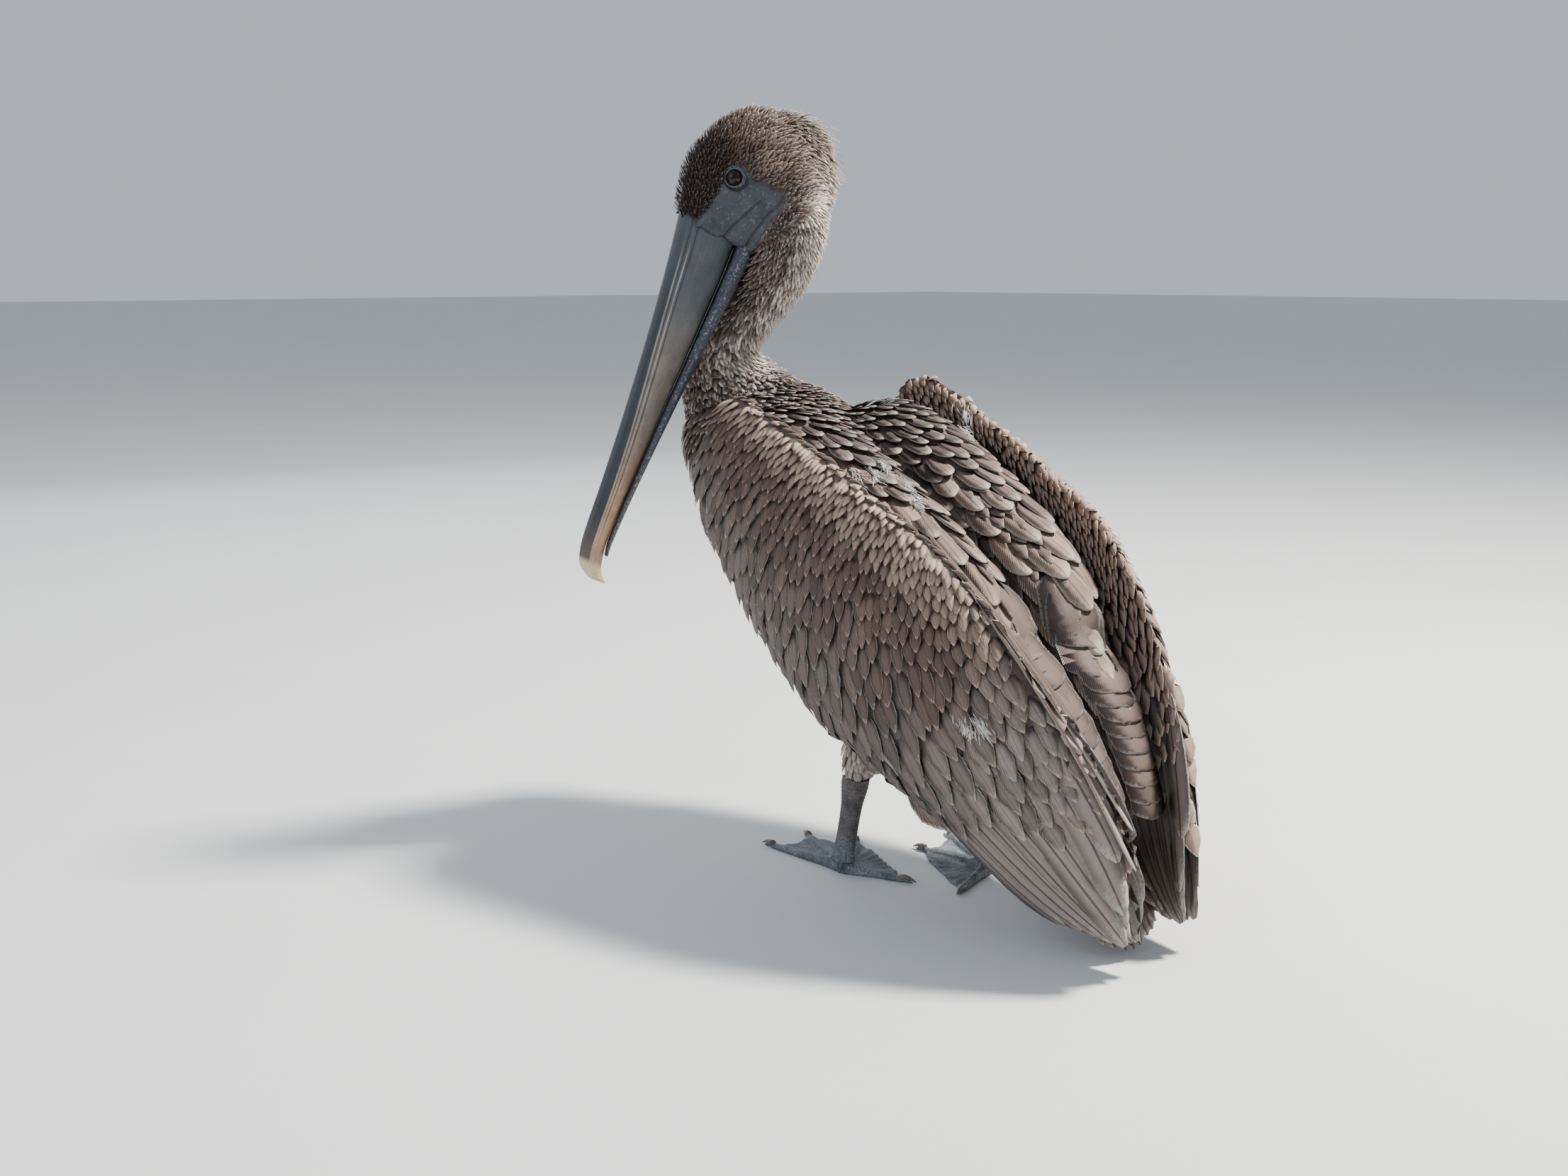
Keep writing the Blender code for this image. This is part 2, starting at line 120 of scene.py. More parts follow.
# %% [markdown]
# ## The camera
# A person stands behind the bird's left side, a little above its back, and looks slightly
# down. A moderately wide lens keeps the whole bird in view with room around it.

# %% Set the camera
CAMERA_FROM_STAND = Vector((1.018, 1.026, 0.54))
bpy.ops.object.camera_add(location=Vector(STAND) + CAMERA_FROM_STAND)
camera = bpy.context.object
VIEW = np.array([-0.6428, -0.7660, 0.0])
RIGHT = np.array([-0.7660, 0.6428, 0.0])
dip = math.radians(10.86)
looking = Vector(VIEW * math.cos(dip) - UP * math.sin(dip))
camera.rotation_euler = looking.to_track_quat("-Z", "Y").to_euler()
camera.data.lens = 38
camera.data.sensor_width = 36
camera.data.clip_start = 0.02
bpy.context.scene.camera = camera
print("camera at", [round(v, 3) for v in camera.location])

# %% [markdown]
# ## Copies of the solids to work from
# The solids are the bird's outer shape, out to the tips of its feathers. To cover them, we
# need smooth closed copies of whole regions. Joining the pieces and remeshing them in small
# voxels closes the thin joints between them, and a smoothing modifier takes the corners off.


# %% Join, remesh and smooth
def joined(name, nodes, voxel, rounds):
    """One smooth closed mesh over the named solids."""
    bpy.ops.object.select_all(action="DESELECT")
    for node in nodes:
        copy = bpy.data.objects.new(name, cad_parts[node].data.copy())
        bpy.context.collection.objects.link(copy)
        copy.select_set(True)
        bpy.context.view_layer.objects.active = copy
    if len(nodes) > 1:
        bpy.ops.object.join()
    made = bpy.context.view_layer.objects.active
    made.name = name
    made.data.materials.clear()
    bpy.ops.object.mode_set(mode="EDIT")
    bpy.ops.mesh.select_all(action="SELECT")
    bpy.ops.mesh.remove_doubles(threshold=0.00002)
    bpy.ops.object.mode_set(mode="OBJECT")
    remesh = made.modifiers.new("Remesh", "REMESH")
    remesh.mode = "VOXEL"
    remesh.voxel_size = voxel
    bpy.ops.object.modifier_apply(modifier="Remesh")
    smooth = made.modifiers.new("Smooth", "SMOOTH")
    smooth.factor = 0.5
    smooth.iterations = rounds
    bpy.ops.object.modifier_apply(modifier="Smooth")
    return made


def arrays(thing):
    """The vertices, smooth normals and triangles of a mesh."""
    mesh = thing.data
    points = np.empty(len(mesh.vertices) * 3)
    mesh.vertices.foreach_get("co", points)
    normals = np.empty(len(mesh.vertices) * 3)
    mesh.vertices.foreach_get("normal", normals)
    mesh.calc_loop_triangles()
    corners = np.empty(len(mesh.loop_triangles) * 3, int)
    mesh.loop_triangles.foreach_get("vertices", corners)
    return points.reshape(-1, 3), normals.reshape(-1, 3), corners.reshape(-1, 3)


def move_points(thing, points):
    thing.data.vertices.foreach_set("co", points.astype(np.float32).ravel())


def select_only(thing):
    bpy.ops.object.select_all(action="DESELECT")
    thing.select_set(True)
    bpy.context.view_layer.objects.active = thing


def point_values(mesh, name, values):
    """Store one number for each vertex, or one vector if the values have three columns."""
    vector = np.ndim(values) == 2
    layer = mesh.attributes.new(name, "FLOAT_VECTOR" if vector else "FLOAT", "POINT")
    layer.data.foreach_set("vector" if vector else "value", values.astype(np.float32).ravel())


def tree_of(*things):
    """A search tree over the meshes, to find the nearest surface or what a ray meets."""
    points, triangles, count = [], [], 0
    for thing in things:
        vertices, _, corners = arrays(thing)
        points += [Vector(p) for p in vertices]
        triangles += [tuple(int(c) + count for c in corner) for corner in corners]
        count += len(vertices)
    return BVHTree.FromPolygons(points, triangles)


HEAD_NODES = ["head", "neck_upper", "neck_lower"]
TRUNK_NODES = ["trunk", "neck_lower", "thigh_left", "thigh_right"]
BACK_NODES = ["trunk", "scapulars_left", "scapulars_right", "secondaries_left", "secondaries_right"]
regions = {
    "head": joined("shape_head", HEAD_NODES, 0.0030, 5),
    "trunk": joined("shape_trunk", TRUNK_NODES, 0.0045, 6),
    "back": joined("shape_back", BACK_NODES, 0.0040, 4),
    "wing_left": joined("shape_wing_left", ["wing_left", "primaries_left"], 0.0040, 5),
    "wing_right": joined("shape_wing_right", ["wing_right", "primaries_right"], 0.0040, 5),
    "tail": joined("shape_tail", ["tail"], 0.0035, 3),
}
everything = tree_of(*[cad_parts[n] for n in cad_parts])
trees = {name: tree_of(thing) for name, thing in regions.items()}
print("regions:", {name: len(thing.data.vertices) for name, thing in regions.items()})

# %% [markdown]
# ## What each part of the plumage is coloured
# The skin and the feathers on it share these rules, so no gap between feathers shows. A young
# pelican is brown above with buff tips and pale below. The rules mix a few named colours by
# where a point is on the bird. The back of the head and neck, the side facing the lamp, is
# painted cream as painted light.

# %% Name the colours of the plumage
UMBER = hue(66, 49, 43)
BROWN = hue(106, 86, 77)
TAN = hue(148, 124, 110)
BUFF = hue(196, 172, 152)
CREAM = hue(232, 220, 206)
ASH = hue(134, 122, 116)
SILVER = hue(196, 192, 188)
DUSK = hue(92, 76, 70)
WHITE = hue(240, 238, 234)
SLATE = hue(66, 73, 83)


def blend(first, second, share):
    share = np.asarray(share, float)[..., None]
    return first * (1 - share) + second * share


def speckle(points, size, seed):
    """A smooth patchy value from 0 to 1, about one patch to each size."""
    turn = np.random.default_rng(seed).normal(size=(6, 3))
    turn = turn / np.linalg.norm(turn, axis=1, keepdims=True)
    phase = np.arange(6) * 1.7 + seed
    waves = np.sin(points @ turn.T * (2 * math.pi / size) * np.linspace(0.7, 1.4, 6) + phase)
    return np.clip(0.5 + waves.sum(axis=1) * 0.22, 0, 1)


def head_colour(points, normals):
    """Dark forehead and eye, brown crown and brown base of the neck, with painted light: the back of
    the head and neck, the side facing the lamp, is painted cream.
    """
    ahead, up, _ = head_place(points)
    height = points[:, 2]
    # Painted light: the back of the head and neck faces the key lamp. Surfaces turned that way are
    # painted cream, and the front of the low neck stays brown.
    hind_way = unit(blend(-LEVEL, np.array([0.1, 1.0, 0.0]), ease(0.56, 0.44, height)))
    hind = (unit(normals) * hind_way).sum(axis=1)
    patch = speckle(points, 0.016, 4)
    low = ease(0.54, 0.47, height)
    tone = blend(BROWN, CREAM, ease(-0.25 + 0.45 * low, 0.55 + 0.30 * low,
                                    hind + 0.35 * (patch - 0.5)))
    tone = blend(tone, BROWN, ease(0.47, 0.41, height) * ease(0.85, 0.2, hind))
    tone = blend(tone, BROWN * 0.85, ease(0.43, 0.39, height) * 0.9)
    crown = ease(-0.004, 0.040, ahead + 0.35 * (up - 0.03)) * ease(-0.018, 0.012, up)
    tone = blend(tone, blend(BROWN, DUSK, patch), crown)
    hood = ease(0.618, 0.648, height + 0.012 * (patch - 0.5)) * 0.72
    tone = blend(tone, blend(BROWN, BUFF, 0.5 * patch), hood)
    brow = ease(0.045, 0.085, ahead) * ease(0.0, 0.02, up)
    tone = blend(tone, UMBER * 0.45, brow)
    cheek = np.exp(-(((ahead - 0.048) / 0.016) ** 2 + ((up - 0.030) / 0.014) ** 2)) * 0.45
    return blend(tone, BUFF, cheek)


def trunk_colour(points, normals):
    along = body_place(points)[1]
    below = -(unit(normals) @ ABOVE)
    tone = blend(BROWN * 0.9, DUSK, ease(-0.36, -0.44, along))
    tone = blend(tone, CREAM * 0.85, ease(0.05, 0.55, below) * ease(-0.47, -0.38, along))
    thigh = ease(0.165, 0.135, points[:, 2]) * ease(0.08, 0.03, along)
    return blend(tone, blend(ASH, CREAM, 0.35) * 0.80, thigh)


def wing_colour(points, normals):
    """Brown over the shoulder and greyer to the lower edge and tip, with painted light: the front of
    the ridge, where it faces up, is painted buff.
    """
    _, along, above = body_place(points)
    patch = speckle(points, 0.05, 9)
    ridge, edge = wing_edges(along)
    share = (above - edge) / (ridge - edge)
    tone = blend(ASH * 0.72, BROWN * 0.95, ease(0.15, 0.75, share + 0.2 * (patch - 0.5)))
    # Painted light: the upward-facing surfaces of the forward ridge are lightened to buff.
    top = ease(0.10, 0.55, unit(normals) @ ABOVE)
    tone = blend(tone, BUFF * 0.9, top * ease(0.8, 0.95, share) * ease(0.02, -0.14, along))
    return blend(tone, ASH * 0.95, ease(-0.06, 0.02, along))


WING_STATIONS = np.array([
    (-0.384, 0.238, 0.178), (-0.345, 0.270, 0.126), (-0.290, 0.287, 0.110), (-0.220, 0.307, 0.096),
    (-0.150, 0.324, 0.091), (-0.105, 0.331, 0.096), (-0.040, 0.324, 0.122), (0.010, 0.313, 0.137),
    (0.050, 0.303, 0.141), (0.095, 0.284, 0.143), (0.135, 0.260, 0.151), (0.190, 0.212, 0.180)])


def wing_edges(along):
    """How far the wing's ridge and its lower edge stand above the body's long line."""
    at, ridge, edge = WING_STATIONS.T
    return np.interp(along, at, ridge), np.interp(along, at, edge)


print("colours named")

# %% [markdown]
# ## Shader groups that several finishes share
# A feather is a flat vane of fine parallel barbs on a shaft. Each feather's mesh carries two
# things for the shader: `lay`, which says how far across and along the feather a point is,
# with a number of its own for each feather, and the colours `tint` and `rim`. One node group
# turns them into a feather with a shaft, a pale fringe and fine barbs.


# %% Build the feather group
def new_group(name, inputs, outputs):
    group = bpy.data.node_groups.new(name, "ShaderNodeTree")
    for label, kind, value in inputs:
        socket = group.interface.new_socket(label, in_out="INPUT", socket_type=kind)
        socket.default_value = value
    for label, kind in outputs:
        group.interface.new_socket(label, in_out="OUTPUT", socket_type=kind)
    return group, group.nodes.new("NodeGroupInput"), group.nodes.new("NodeGroupOutput")


def number(tree, operation, first, second=None, third=None, clamp=False):
    """A Math node: links or plain numbers go in and one value comes out."""
    node = tree.nodes.new("ShaderNodeMath")
    node.operation = operation
    node.use_clamp = clamp
    for socket, value in zip(node.inputs, (first, second, third)):
        if isinstance(value, (int, float)):
            socket.default_value = value
        elif value is not None:
            tree.links.new(value, socket)
    return node.outputs[0]


def between(tree, value, low, high):
    """0 below low, 1 above high."""
    node = tree.nodes.new("ShaderNodeMapRange")
    node.interpolation_type = "SMOOTHSTEP"
    for index, given in enumerate((value, low, high)):
        if isinstance(given, (int, float)):
            node.inputs[index].default_value = given
        else:
            tree.links.new(given, node.inputs[index])
    return node.outputs[0]


def mixed(tree, share, first, second, way="MIX"):
    node = tree.nodes.new("ShaderNodeMix")
    node.data_type = "RGBA"
    node.blend_type = way
    for index, value in ((0, share), (6, first), (7, second)):
        if isinstance(value, (int, float)):
            node.inputs[index].default_value = value
        elif isinstance(value, (tuple, list, np.ndarray)):
            node.inputs[index].default_value = (*list(value)[:3], 1)
        else:
            tree.links.new(value, node.inputs[index])
    return node.outputs[2]


def attribute(tree, name, output):
    node = tree.nodes.new("ShaderNodeAttribute")
    node.attribute_name = name
    return node.outputs[output]


def noise(tree, vector, scale, detail=3.0, rough=0.55):
    node = tree.nodes.new("ShaderNodeTexNoise")
    node.inputs["Scale"].default_value = scale
    node.inputs["Detail"].default_value = detail
    node.inputs["Roughness"].default_value = rough
    tree.links.new(vector, node.inputs["Vector"])
    return node.outputs["Fac"]


def feather_group():
    group, given, out = new_group(
        "Feather vane",
        [("Fringe", "NodeSocketFloat", 0.8), ("Shaft", "NodeSocketFloat", 0.5),
         ("Barbs", "NodeSocketFloat", 60.0), ("Variation", "NodeSocketFloat", 0.25)],
        [("Color", "NodeSocketColor"), ("Height", "NodeSocketFloat")])
    split = group.nodes.new("ShaderNodeSeparateXYZ")
    group.links.new(attribute(group, "lay", "Vector"), split.inputs[0])
    across, along, own = split.outputs
    off = number(group, "ABSOLUTE", across)
    place = group.nodes.new("ShaderNodeTexCoord").outputs["Object"]
    ragged = noise(group, place, 420.0)
    tip = number(group, "MULTIPLY_ADD", off, 0.16, number(group, "MULTIPLY", along, 0.88))
    reach = number(group, "MAXIMUM", off, tip)
    wobble = number(group, "MULTIPLY_ADD", ragged, 0.22, -0.11)
    fringe = between(group, number(group, "ADD", reach, wobble), given.outputs["Fringe"], 1.0)
    colour = mixed(group, fringe, attribute(group, "tint", "Color"), attribute(group, "rim", "Color"))
    shaft = between(group, off, 0.12, 0.03)
    shaft = number(group, "MULTIPLY", shaft, given.outputs["Shaft"])
    colour = mixed(group, shaft, colour, (0.02, 0.014, 0.011))
    root = between(group, along, 0.45, 0.0)
    colour = mixed(group, number(group, "MULTIPLY", root, 0.35), colour, (0.05, 0.038, 0.032))
    slant = number(group, "MULTIPLY_ADD", off, -0.5, along)
    barbs = number(group, "SINE", number(group, "MULTIPLY", slant, given.outputs["Barbs"]))
    streak = noise(group, place, 160.0)
    level = number(group, "MULTIPLY_ADD", barbs, 0.045, 0.92)
    level = number(group, "ADD", level, number(group, "MULTIPLY_ADD", streak, 0.36, -0.14))
    sway = number(group, "MULTIPLY", number(group, "SUBTRACT", own, 0.5), given.outputs["Variation"])
    level = number(group, "ADD", level, sway)
    grey = group.nodes.new("ShaderNodeCombineColor")
    for socket in grey.inputs[:3]:
        group.links.new(level, socket)
    colour = mixed(group, 1.0, colour, grey.outputs[0], "MULTIPLY")
    height = number(group, "ADD", barbs, number(group, "MULTIPLY", shaft, 3.0))
    group.links.new(colour, out.inputs["Color"])
    group.links.new(height, out.inputs["Height"])
    return group


VANE = feather_group()


def new_material(name, roughness, slot_colour=(0.5, 0.5, 0.5)):
    material = bpy.data.materials.new(name)
    material.use_nodes = True
    material.diffuse_color = (*slot_colour, 1)
    shader = material.node_tree.nodes["Principled BSDF"]
    shader.inputs["Roughness"].default_value = roughness
    return material, material.node_tree, shader


def bump(tree, shader, height, strength, distance):
    node = tree.nodes.new("ShaderNodeBump")
    node.inputs["Strength"].default_value = strength
    node.inputs["Distance"].default_value = distance
    tree.links.new(height, node.inputs["Height"])
    tree.links.new(node.outputs[0], shader.inputs["Normal"])


def feather_material(name, fringe, shaft, barbs, variation, roughness=0.72):
    material, tree, shader = new_material(name, roughness)
    vane = tree.nodes.new("ShaderNodeGroup")
    vane.node_tree = VANE
    for label, value in (("Fringe", fringe), ("Shaft", shaft), ("Barbs", barbs),
                         ("Variation", variation)):
        vane.inputs[label].default_value = value
    tree.links.new(vane.outputs["Color"], shader.inputs["Base Color"])
    bump(tree, shader, vane.outputs["Height"], 0.35, 0.0003)
    shader.inputs["Specular IOR Level"].default_value = 0.3
    return material


BRISTLE = feather_material("Head bristles", 0.62, 0.0, 20.0, 0.5, 0.85)
SOFT = feather_material("Soft body feathers", 0.66, 0.1, 40.0, 0.35, 0.85)
COVERT = feather_material("Wing coverts", 0.80, 0.30, 60.0, 0.3, 0.75)
SCAPULAR = feather_material("Scapulars", 0.66, 0.55, 90.0, 0.35, 0.7)
QUILL = feather_material("Flight feathers", 0.86, 0.8, 160.0, 0.2, 0.6)
DOWN = feather_material("White down", 0.3, 0.0, 25.0, 0.2, 0.9)
print("feather finishes:", [m.name for m in (BRISTLE, SOFT, COVERT, QUILL, DOWN)])

# %% [markdown]
# ## How one feather is made, and how thousands are laid
# A feather here is a thin closed vane: a few rings of four corners, wide in the middle and
# rounded or pointed at the tip, arched a little across. Its middle line walks over the body
# from root to tip and bends with it, root low and tip a little proud, so that each feather
# lies on the next like roof tiles. All feathers of one tract become a single joined mesh.


# %% Scatter roots over a region
AROUND = [(dx, dy, dz) for dx in (-1, 0, 1) for dy in (-1, 0, 1) for dz in (-1, 0, 1)]


def scatter(region, keep, spacing, lie, seed, stretch=0.6, dense=9, cover=0.010):
    """Evenly spread roots, closer side by side than end to end, where keep says so."""
    points, normals, corners = arrays(regions[region])
    a, b, c = points[corners[:, 0]], points[corners[:, 1]], points[corners[:, 2]]
    middle = (a + b + c) / 3
    area = np.linalg.norm(np.cross(b - a, c - a), axis=1) / 2
    way = unit(normals[corners].mean(axis=1))
    wanted = np.where(keep(middle, way), area / spacing(middle, way) ** 2, 0)
    random = np.random.default_rng(seed)
    count = int(wanted.sum() * dense)
    picked = random.choice(len(corners), count, p=wanted / wanted.sum())
    r1, r2 = np.sqrt(random.random(count)), random.random(count)
    shares = np.stack([1 - r1, r1 * (1 - r2), r1 * r2], axis=1)[:, :, None]
    places = (points[corners[picked]] * shares).sum(axis=1)
    facing = unit((normals[corners[picked]] * shares).sum(axis=1))
    ways = lie(places, facing)
    ways = unit(ways - facing * (ways * facing).sum(axis=1, keepdims=True))
    gaps = spacing(places, facing)
    cell = gaps.max() / stretch
    grid, kept = {}, []

    def crowded(index, key):
        """Whether a root already kept stands too near, counting distance along the lie less."""
        place, way_here, gap = places[index], ways[index], gaps[index]
        for dx, dy, dz in AROUND:
            for other in grid.get((key[0] + dx, key[1] + dy, key[2] + dz), ()):
                d0, d1, d2 = place - places[other]
                lengthwise = d0 * way_here[0] + d1 * way_here[1] + d2 * way_here[2]
                square = d0 * d0 + d1 * d1 + d2 * d2
                if square - (1 - stretch * stretch) * lengthwise * lengthwise < gap * gap:
                    return True
        return False

    for index in range(count):
        key = tuple((places[index] // cell).astype(int))
        if not crowded(index, key):
            grid.setdefault(key, []).append(index)
            kept.append(index)
    seen = [i for i in kept if everything.ray_cast(
        Vector(places[i] + facing[i] * 0.0015), Vector(facing[i]), cover)[0] is None]
    return places[seen], facing[seen], ways[seen], gaps[seen]


ROUND = ((0, 0.3, 0.58, 0.84, 1.0), (0.35, 0.85, 1.0, 0.78, 0.22))
POINTED = ((0, 0.3, 0.58, 0.84, 1.0), (0.4, 0.95, 0.95, 0.52, 0.08))
THORN = ((0, 0.4, 0.75, 1.0), (0.8, 1.0, 0.65, 0.1))
BROAD = ((0, 0.12, 0.3, 0.5, 0.68, 0.82, 0.92, 0.975, 1.0),
         (0.3, 0.7, 0.92, 1.0, 0.97, 0.84, 0.60, 0.34, 0.08))
LONG = ((0, 0.12, 0.3, 0.5, 0.68, 0.82, 0.92, 0.975, 1.0),
        (0.3, 0.7, 0.95, 1.0, 1.0, 0.96, 0.82, 0.55, 0.15))


def walk(tree, roots, normals, ways, lengths, shares, stiff):
    """The middle line of every feather, and its upward side, as it bends over the body."""
    line = np.zeros((len(roots), len(shares), 3))
    upper = np.zeros_like(line)
    for index in range(len(roots)):
        point, normal, way = Vector(roots[index]), Vector(normals[index]), Vector(ways[index])
        line[index, 0], upper[index, 0] = point, normal
        for ring in range(1, len(shares)):
            step = float(lengths[index] * (shares[ring] - shares[ring - 1]))
            ahead = point + way * step
            near, near_normal, _, _ = tree.find_nearest(ahead)
            pull = near - ahead
            if pull.length > step * (1 - stiff):
                pull *= step * (1 - stiff) / pull.length
            ahead += pull
            way = (ahead - point).normalized()
            normal = (normal * stiff + near_normal * (1 - stiff)).normalized()
            normal = (normal - way * normal.dot(way)).normalized()
            point = ahead
            line[index, ring], upper[index, ring] = point, normal
    return line, upper


def lay_tract(region, rules, seed, dense, outline, stiff, jitter, length, stretch=0.5):
    """Roots of one tract with their facing and gaps, and the middle lines walked from them."""
    roots, facing, ways, gaps = scatter(region, *rules, seed, stretch, dense)
    ways = unit(ways + jitter * random.normal(size=ways.shape))
    lengths = gaps * (length[0] + length[1] * random.random(len(roots)))
    return roots, facing, gaps, *walk(trees[region], roots, facing, ways, lengths, outline[0], stiff)


def vanes(line, upper, halves, outline, seed, depth, lift, camber=0.22, thick=0.00022, corners=4,
          ragged=0.12):
    """The corner points, faces and `lay` values of many feathers at once."""
    shares, widths = np.array(outline[0]), np.array(outline[1])
    count, rings = line.shape[:2]
    random = np.random.default_rng(seed)
    own = random.random(count)
    forward = unit(np.gradient(line, axis=1))
    side = unit(np.cross(forward, upper))
    rise = -depth * (1 - shares) ** 1.4
    rise = rise[None] + (lift * (0.6 + 0.8 * random.random(count)))[:, None] * shares[None] ** 1.2
    line = line + upper * rise[..., None]
    wide = halves[:, None] * widths[None]
    arch = wide * camber
    left = wide * (1 + ragged * (random.random((count, rings)) - 0.5))
    right = wide * (1 + ragged * (random.random((count, rings)) - 0.5))
    ring = [line - side * left[..., None] - upper * arch[..., None],
            line + upper * thick,
            line + side * right[..., None] - upper * arch[..., None]]
    across = [-1, 0, 1]
    if corners == 4:
        ring.append(line - upper * thick)
        across.append(0)
    points = np.stack(ring, axis=2)
    lay = np.zeros(points.shape)
    lay[..., 0] = np.array(across)[None, None]
    lay[..., 1] = shares[None, :, None]
    lay[..., 2] = own[:, None, None]
    step = np.arange(rings - 1)[:, None] * corners
    turn = np.arange(corners)[None]
    after = (turn + 1) % corners
    sides = np.stack([step + turn, step + after, step + corners + after, step + corners + turn],
                     axis=-1).reshape(-1, 4)
    starts = np.arange(count)[:, None, None] * rings * corners
    quads = (sides[None] + starts).reshape(-1, 4)
    ends = np.stack([np.arange(corners)[::-1], np.arange(corners) + (rings - 1) * corners])
    caps = (ends[None] + starts).reshape(-1, corners)
    return points.reshape(-1, 3), quads, caps, lay.reshape(-1, 3), rings * corners


def mesh_from(name, points, quads, caps):
    """A mesh from arrays of four-cornered faces and end caps."""
    mesh = bpy.data.meshes.new(name)
    mesh.vertices.add(len(points))
    mesh.vertices.foreach_set("co", points.astype(np.float32).ravel())
    loops = np.concatenate([quads.ravel(), caps.ravel()]).astype(np.int32)
    sizes = np.concatenate([np.full(len(quads), 4), np.full(len(caps), caps.shape[1])])
    mesh.loops.add(len(loops))
    mesh.loops.foreach_set("vertex_index", loops)
    mesh.polygons.add(len(sizes))
    mesh.polygons.foreach_set("loop_start", (np.cumsum(sizes) - sizes).astype(np.int32))
    mesh.polygons.foreach_set("loop_total", sizes.astype(np.int32))
    mesh.update(calc_edges=True)
    mesh.validate()
    thing = bpy.data.objects.new(name, mesh)
    bpy.context.collection.objects.link(thing)
    return thing, loops


def colour_attribute(mesh, name, values):
    layer = mesh.attributes.new(name, "FLOAT_COLOR", "POINT")
    full = np.ones((len(values), 4), np.float32)
    full[:, :3] = values
    layer.data.foreach_set("color", full.ravel())


def coat(name, batches, material, shade=True):
    """Join batches of feathers to one piece, with their colours and their unwrap."""
    points, quads, caps, lays, tints, rims, spots, count = [], [], [], [], [], [], [], 0
    for made, tint, rim, spot in batches:
        corner_points, sides, ends, lay, each = made
        points.append(corner_points)
        quads.append(sides + count)
        caps.append(ends + count)
        lays.append(lay)
        tints.append(np.repeat(tint, each, axis=0))
        rims.append(np.repeat(rim, each, axis=0))
        spots.append(np.repeat(spot, each, axis=0))
        count += len(corner_points)
    points, lays = np.concatenate(points), np.concatenate(lays)
    piece, loops = mesh_from(name, points, np.concatenate(quads), np.concatenate(caps))
    mesh = piece.data
    colour_attribute(mesh, "tint", np.concatenate(tints))
    colour_attribute(mesh, "rim", np.concatenate(rims))
    point_values(mesh, "lay", lays)
    spots = np.concatenate(spots)
    patch = spots + np.stack([lays[:, 0] * 0.5, lays[:, 1] - 0.5], axis=1) * 0.003
    unwrap = mesh.uv_layers.new(name="OFBake")
    unwrap.data.foreach_set("uv", patch[loops].astype(np.float32).ravel())
    mesh.materials.append(material)
    if shade:
        mesh.shade_smooth()
    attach(piece, "root")
    triangles = sum(len(p.vertices) - 2 for p in mesh.polygons)
    print(f"{name}: {triangles} triangles")
    return piece


def wrapped(points, start, end, centre_x, centre_above):
    """A root's place on an unwrap round the body's long line."""
    x, along, above = body_place(points)
    turn = np.arctan2(above - centre_above, x - centre_x) / (2 * math.pi) + 0.5
    return np.stack([0.02 + 0.96 * np.clip((along - start) / (end - start), 0, 1),
                     0.02 + 0.96 * turn], axis=1)


NECK_LINE = np.array([
    (0.372, 0.006, -0.204), (0.402, 0.017, -0.222), (0.432, 0.031, -0.233), (0.458, 0.039, -0.235),
    (0.484, 0.036, -0.229), (0.512, 0.028, -0.209), (0.540, 0.021, -0.186), (0.568, 0.020, -0.168),
    (0.594, 0.019, -0.160), (0.612, 0.020, -0.156), (0.660, 0.030, -0.160), (0.700, 0.030, -0.160)])


BACK_WRAP = (-0.45, 0.15, 0, 0.17)  # where the back's unwrap starts, ends and turns about


def wing_wrapped(points, side):
    return wrapped(points, -0.42, 0.25, 0.1 * side, 0.21)


def neck_middle(points):
    """The middle of the neck at each point's height, and the way down the neck there."""
    height = points[:, 2]
    at, xs, ys = NECK_LINE.T
    x, y = np.interp(height, at, xs), np.interp(height, at, ys)
    low_x, low_y = np.interp(height - 0.02, at, xs), np.interp(height - 0.02, at, ys)
    down = unit(np.stack([low_x - x, low_y - y, np.full(len(height), -0.02)], axis=1))
    return np.stack([x, y, height], axis=1) + STAND * [1, 1, 0], down


def neck_wrapped(points):
    middle, _ = neck_middle(points)
    away = points - middle
    turn = np.arctan2(away[:, 1], away[:, 0]) / (2 * math.pi) + 0.5
    return np.stack([0.02 + 0.96 * turn,
                     0.02 + 0.96 * np.clip((points[:, 2] - 0.3) / 0.4, 0, 1)], axis=1)


print("feather tools ready")

# %% [markdown]
# ## The skin
# Under the coat a bird has one unbroken skin. We join every fleshy solid, remesh it as one
# body, smooth it, and then sink it below the feather tips by the depth of the coat. Only the
# bare face stays at the surface. It carries the coat's colours, so gaps never show.

# %% Make the skin
FLESH = ["trunk", "neck_lower", "neck_upper", "head", "wing_left", "wing_right", "primaries_left",
         "primaries_right", "scapulars_left", "scapulars_right", "secondaries_left",
         "secondaries_right", "tail", "thigh_left", "thigh_right"]


FACE_OUTLINE = np.array([  # ahead and up in the head's frame, from the brow round the gape
    (0.150, 0.034), (0.131, 0.0245), (0.115, 0.031), (0.102, 0.0365), (0.090, 0.044),
    (0.079, 0.0435), (0.071, 0.038), (0.071, 0.0265), (0.062, 0.019), (0.055, 0.010),
    (0.0535, 0.000), (0.056, -0.0065), (0.069, -0.0095), (0.0915, -0.0205), (0.118, -0.033),
    (0.150, -0.045)])
GAPE_FOLD = np.array([(0.074, 0.0095), (0.100, 0.0045), (0.126, 0.001)])
MOUTH_FOLD = np.array([(0.058, -0.001), (0.078, -0.006), (0.099, -0.0150), (0.125, -0.024)])


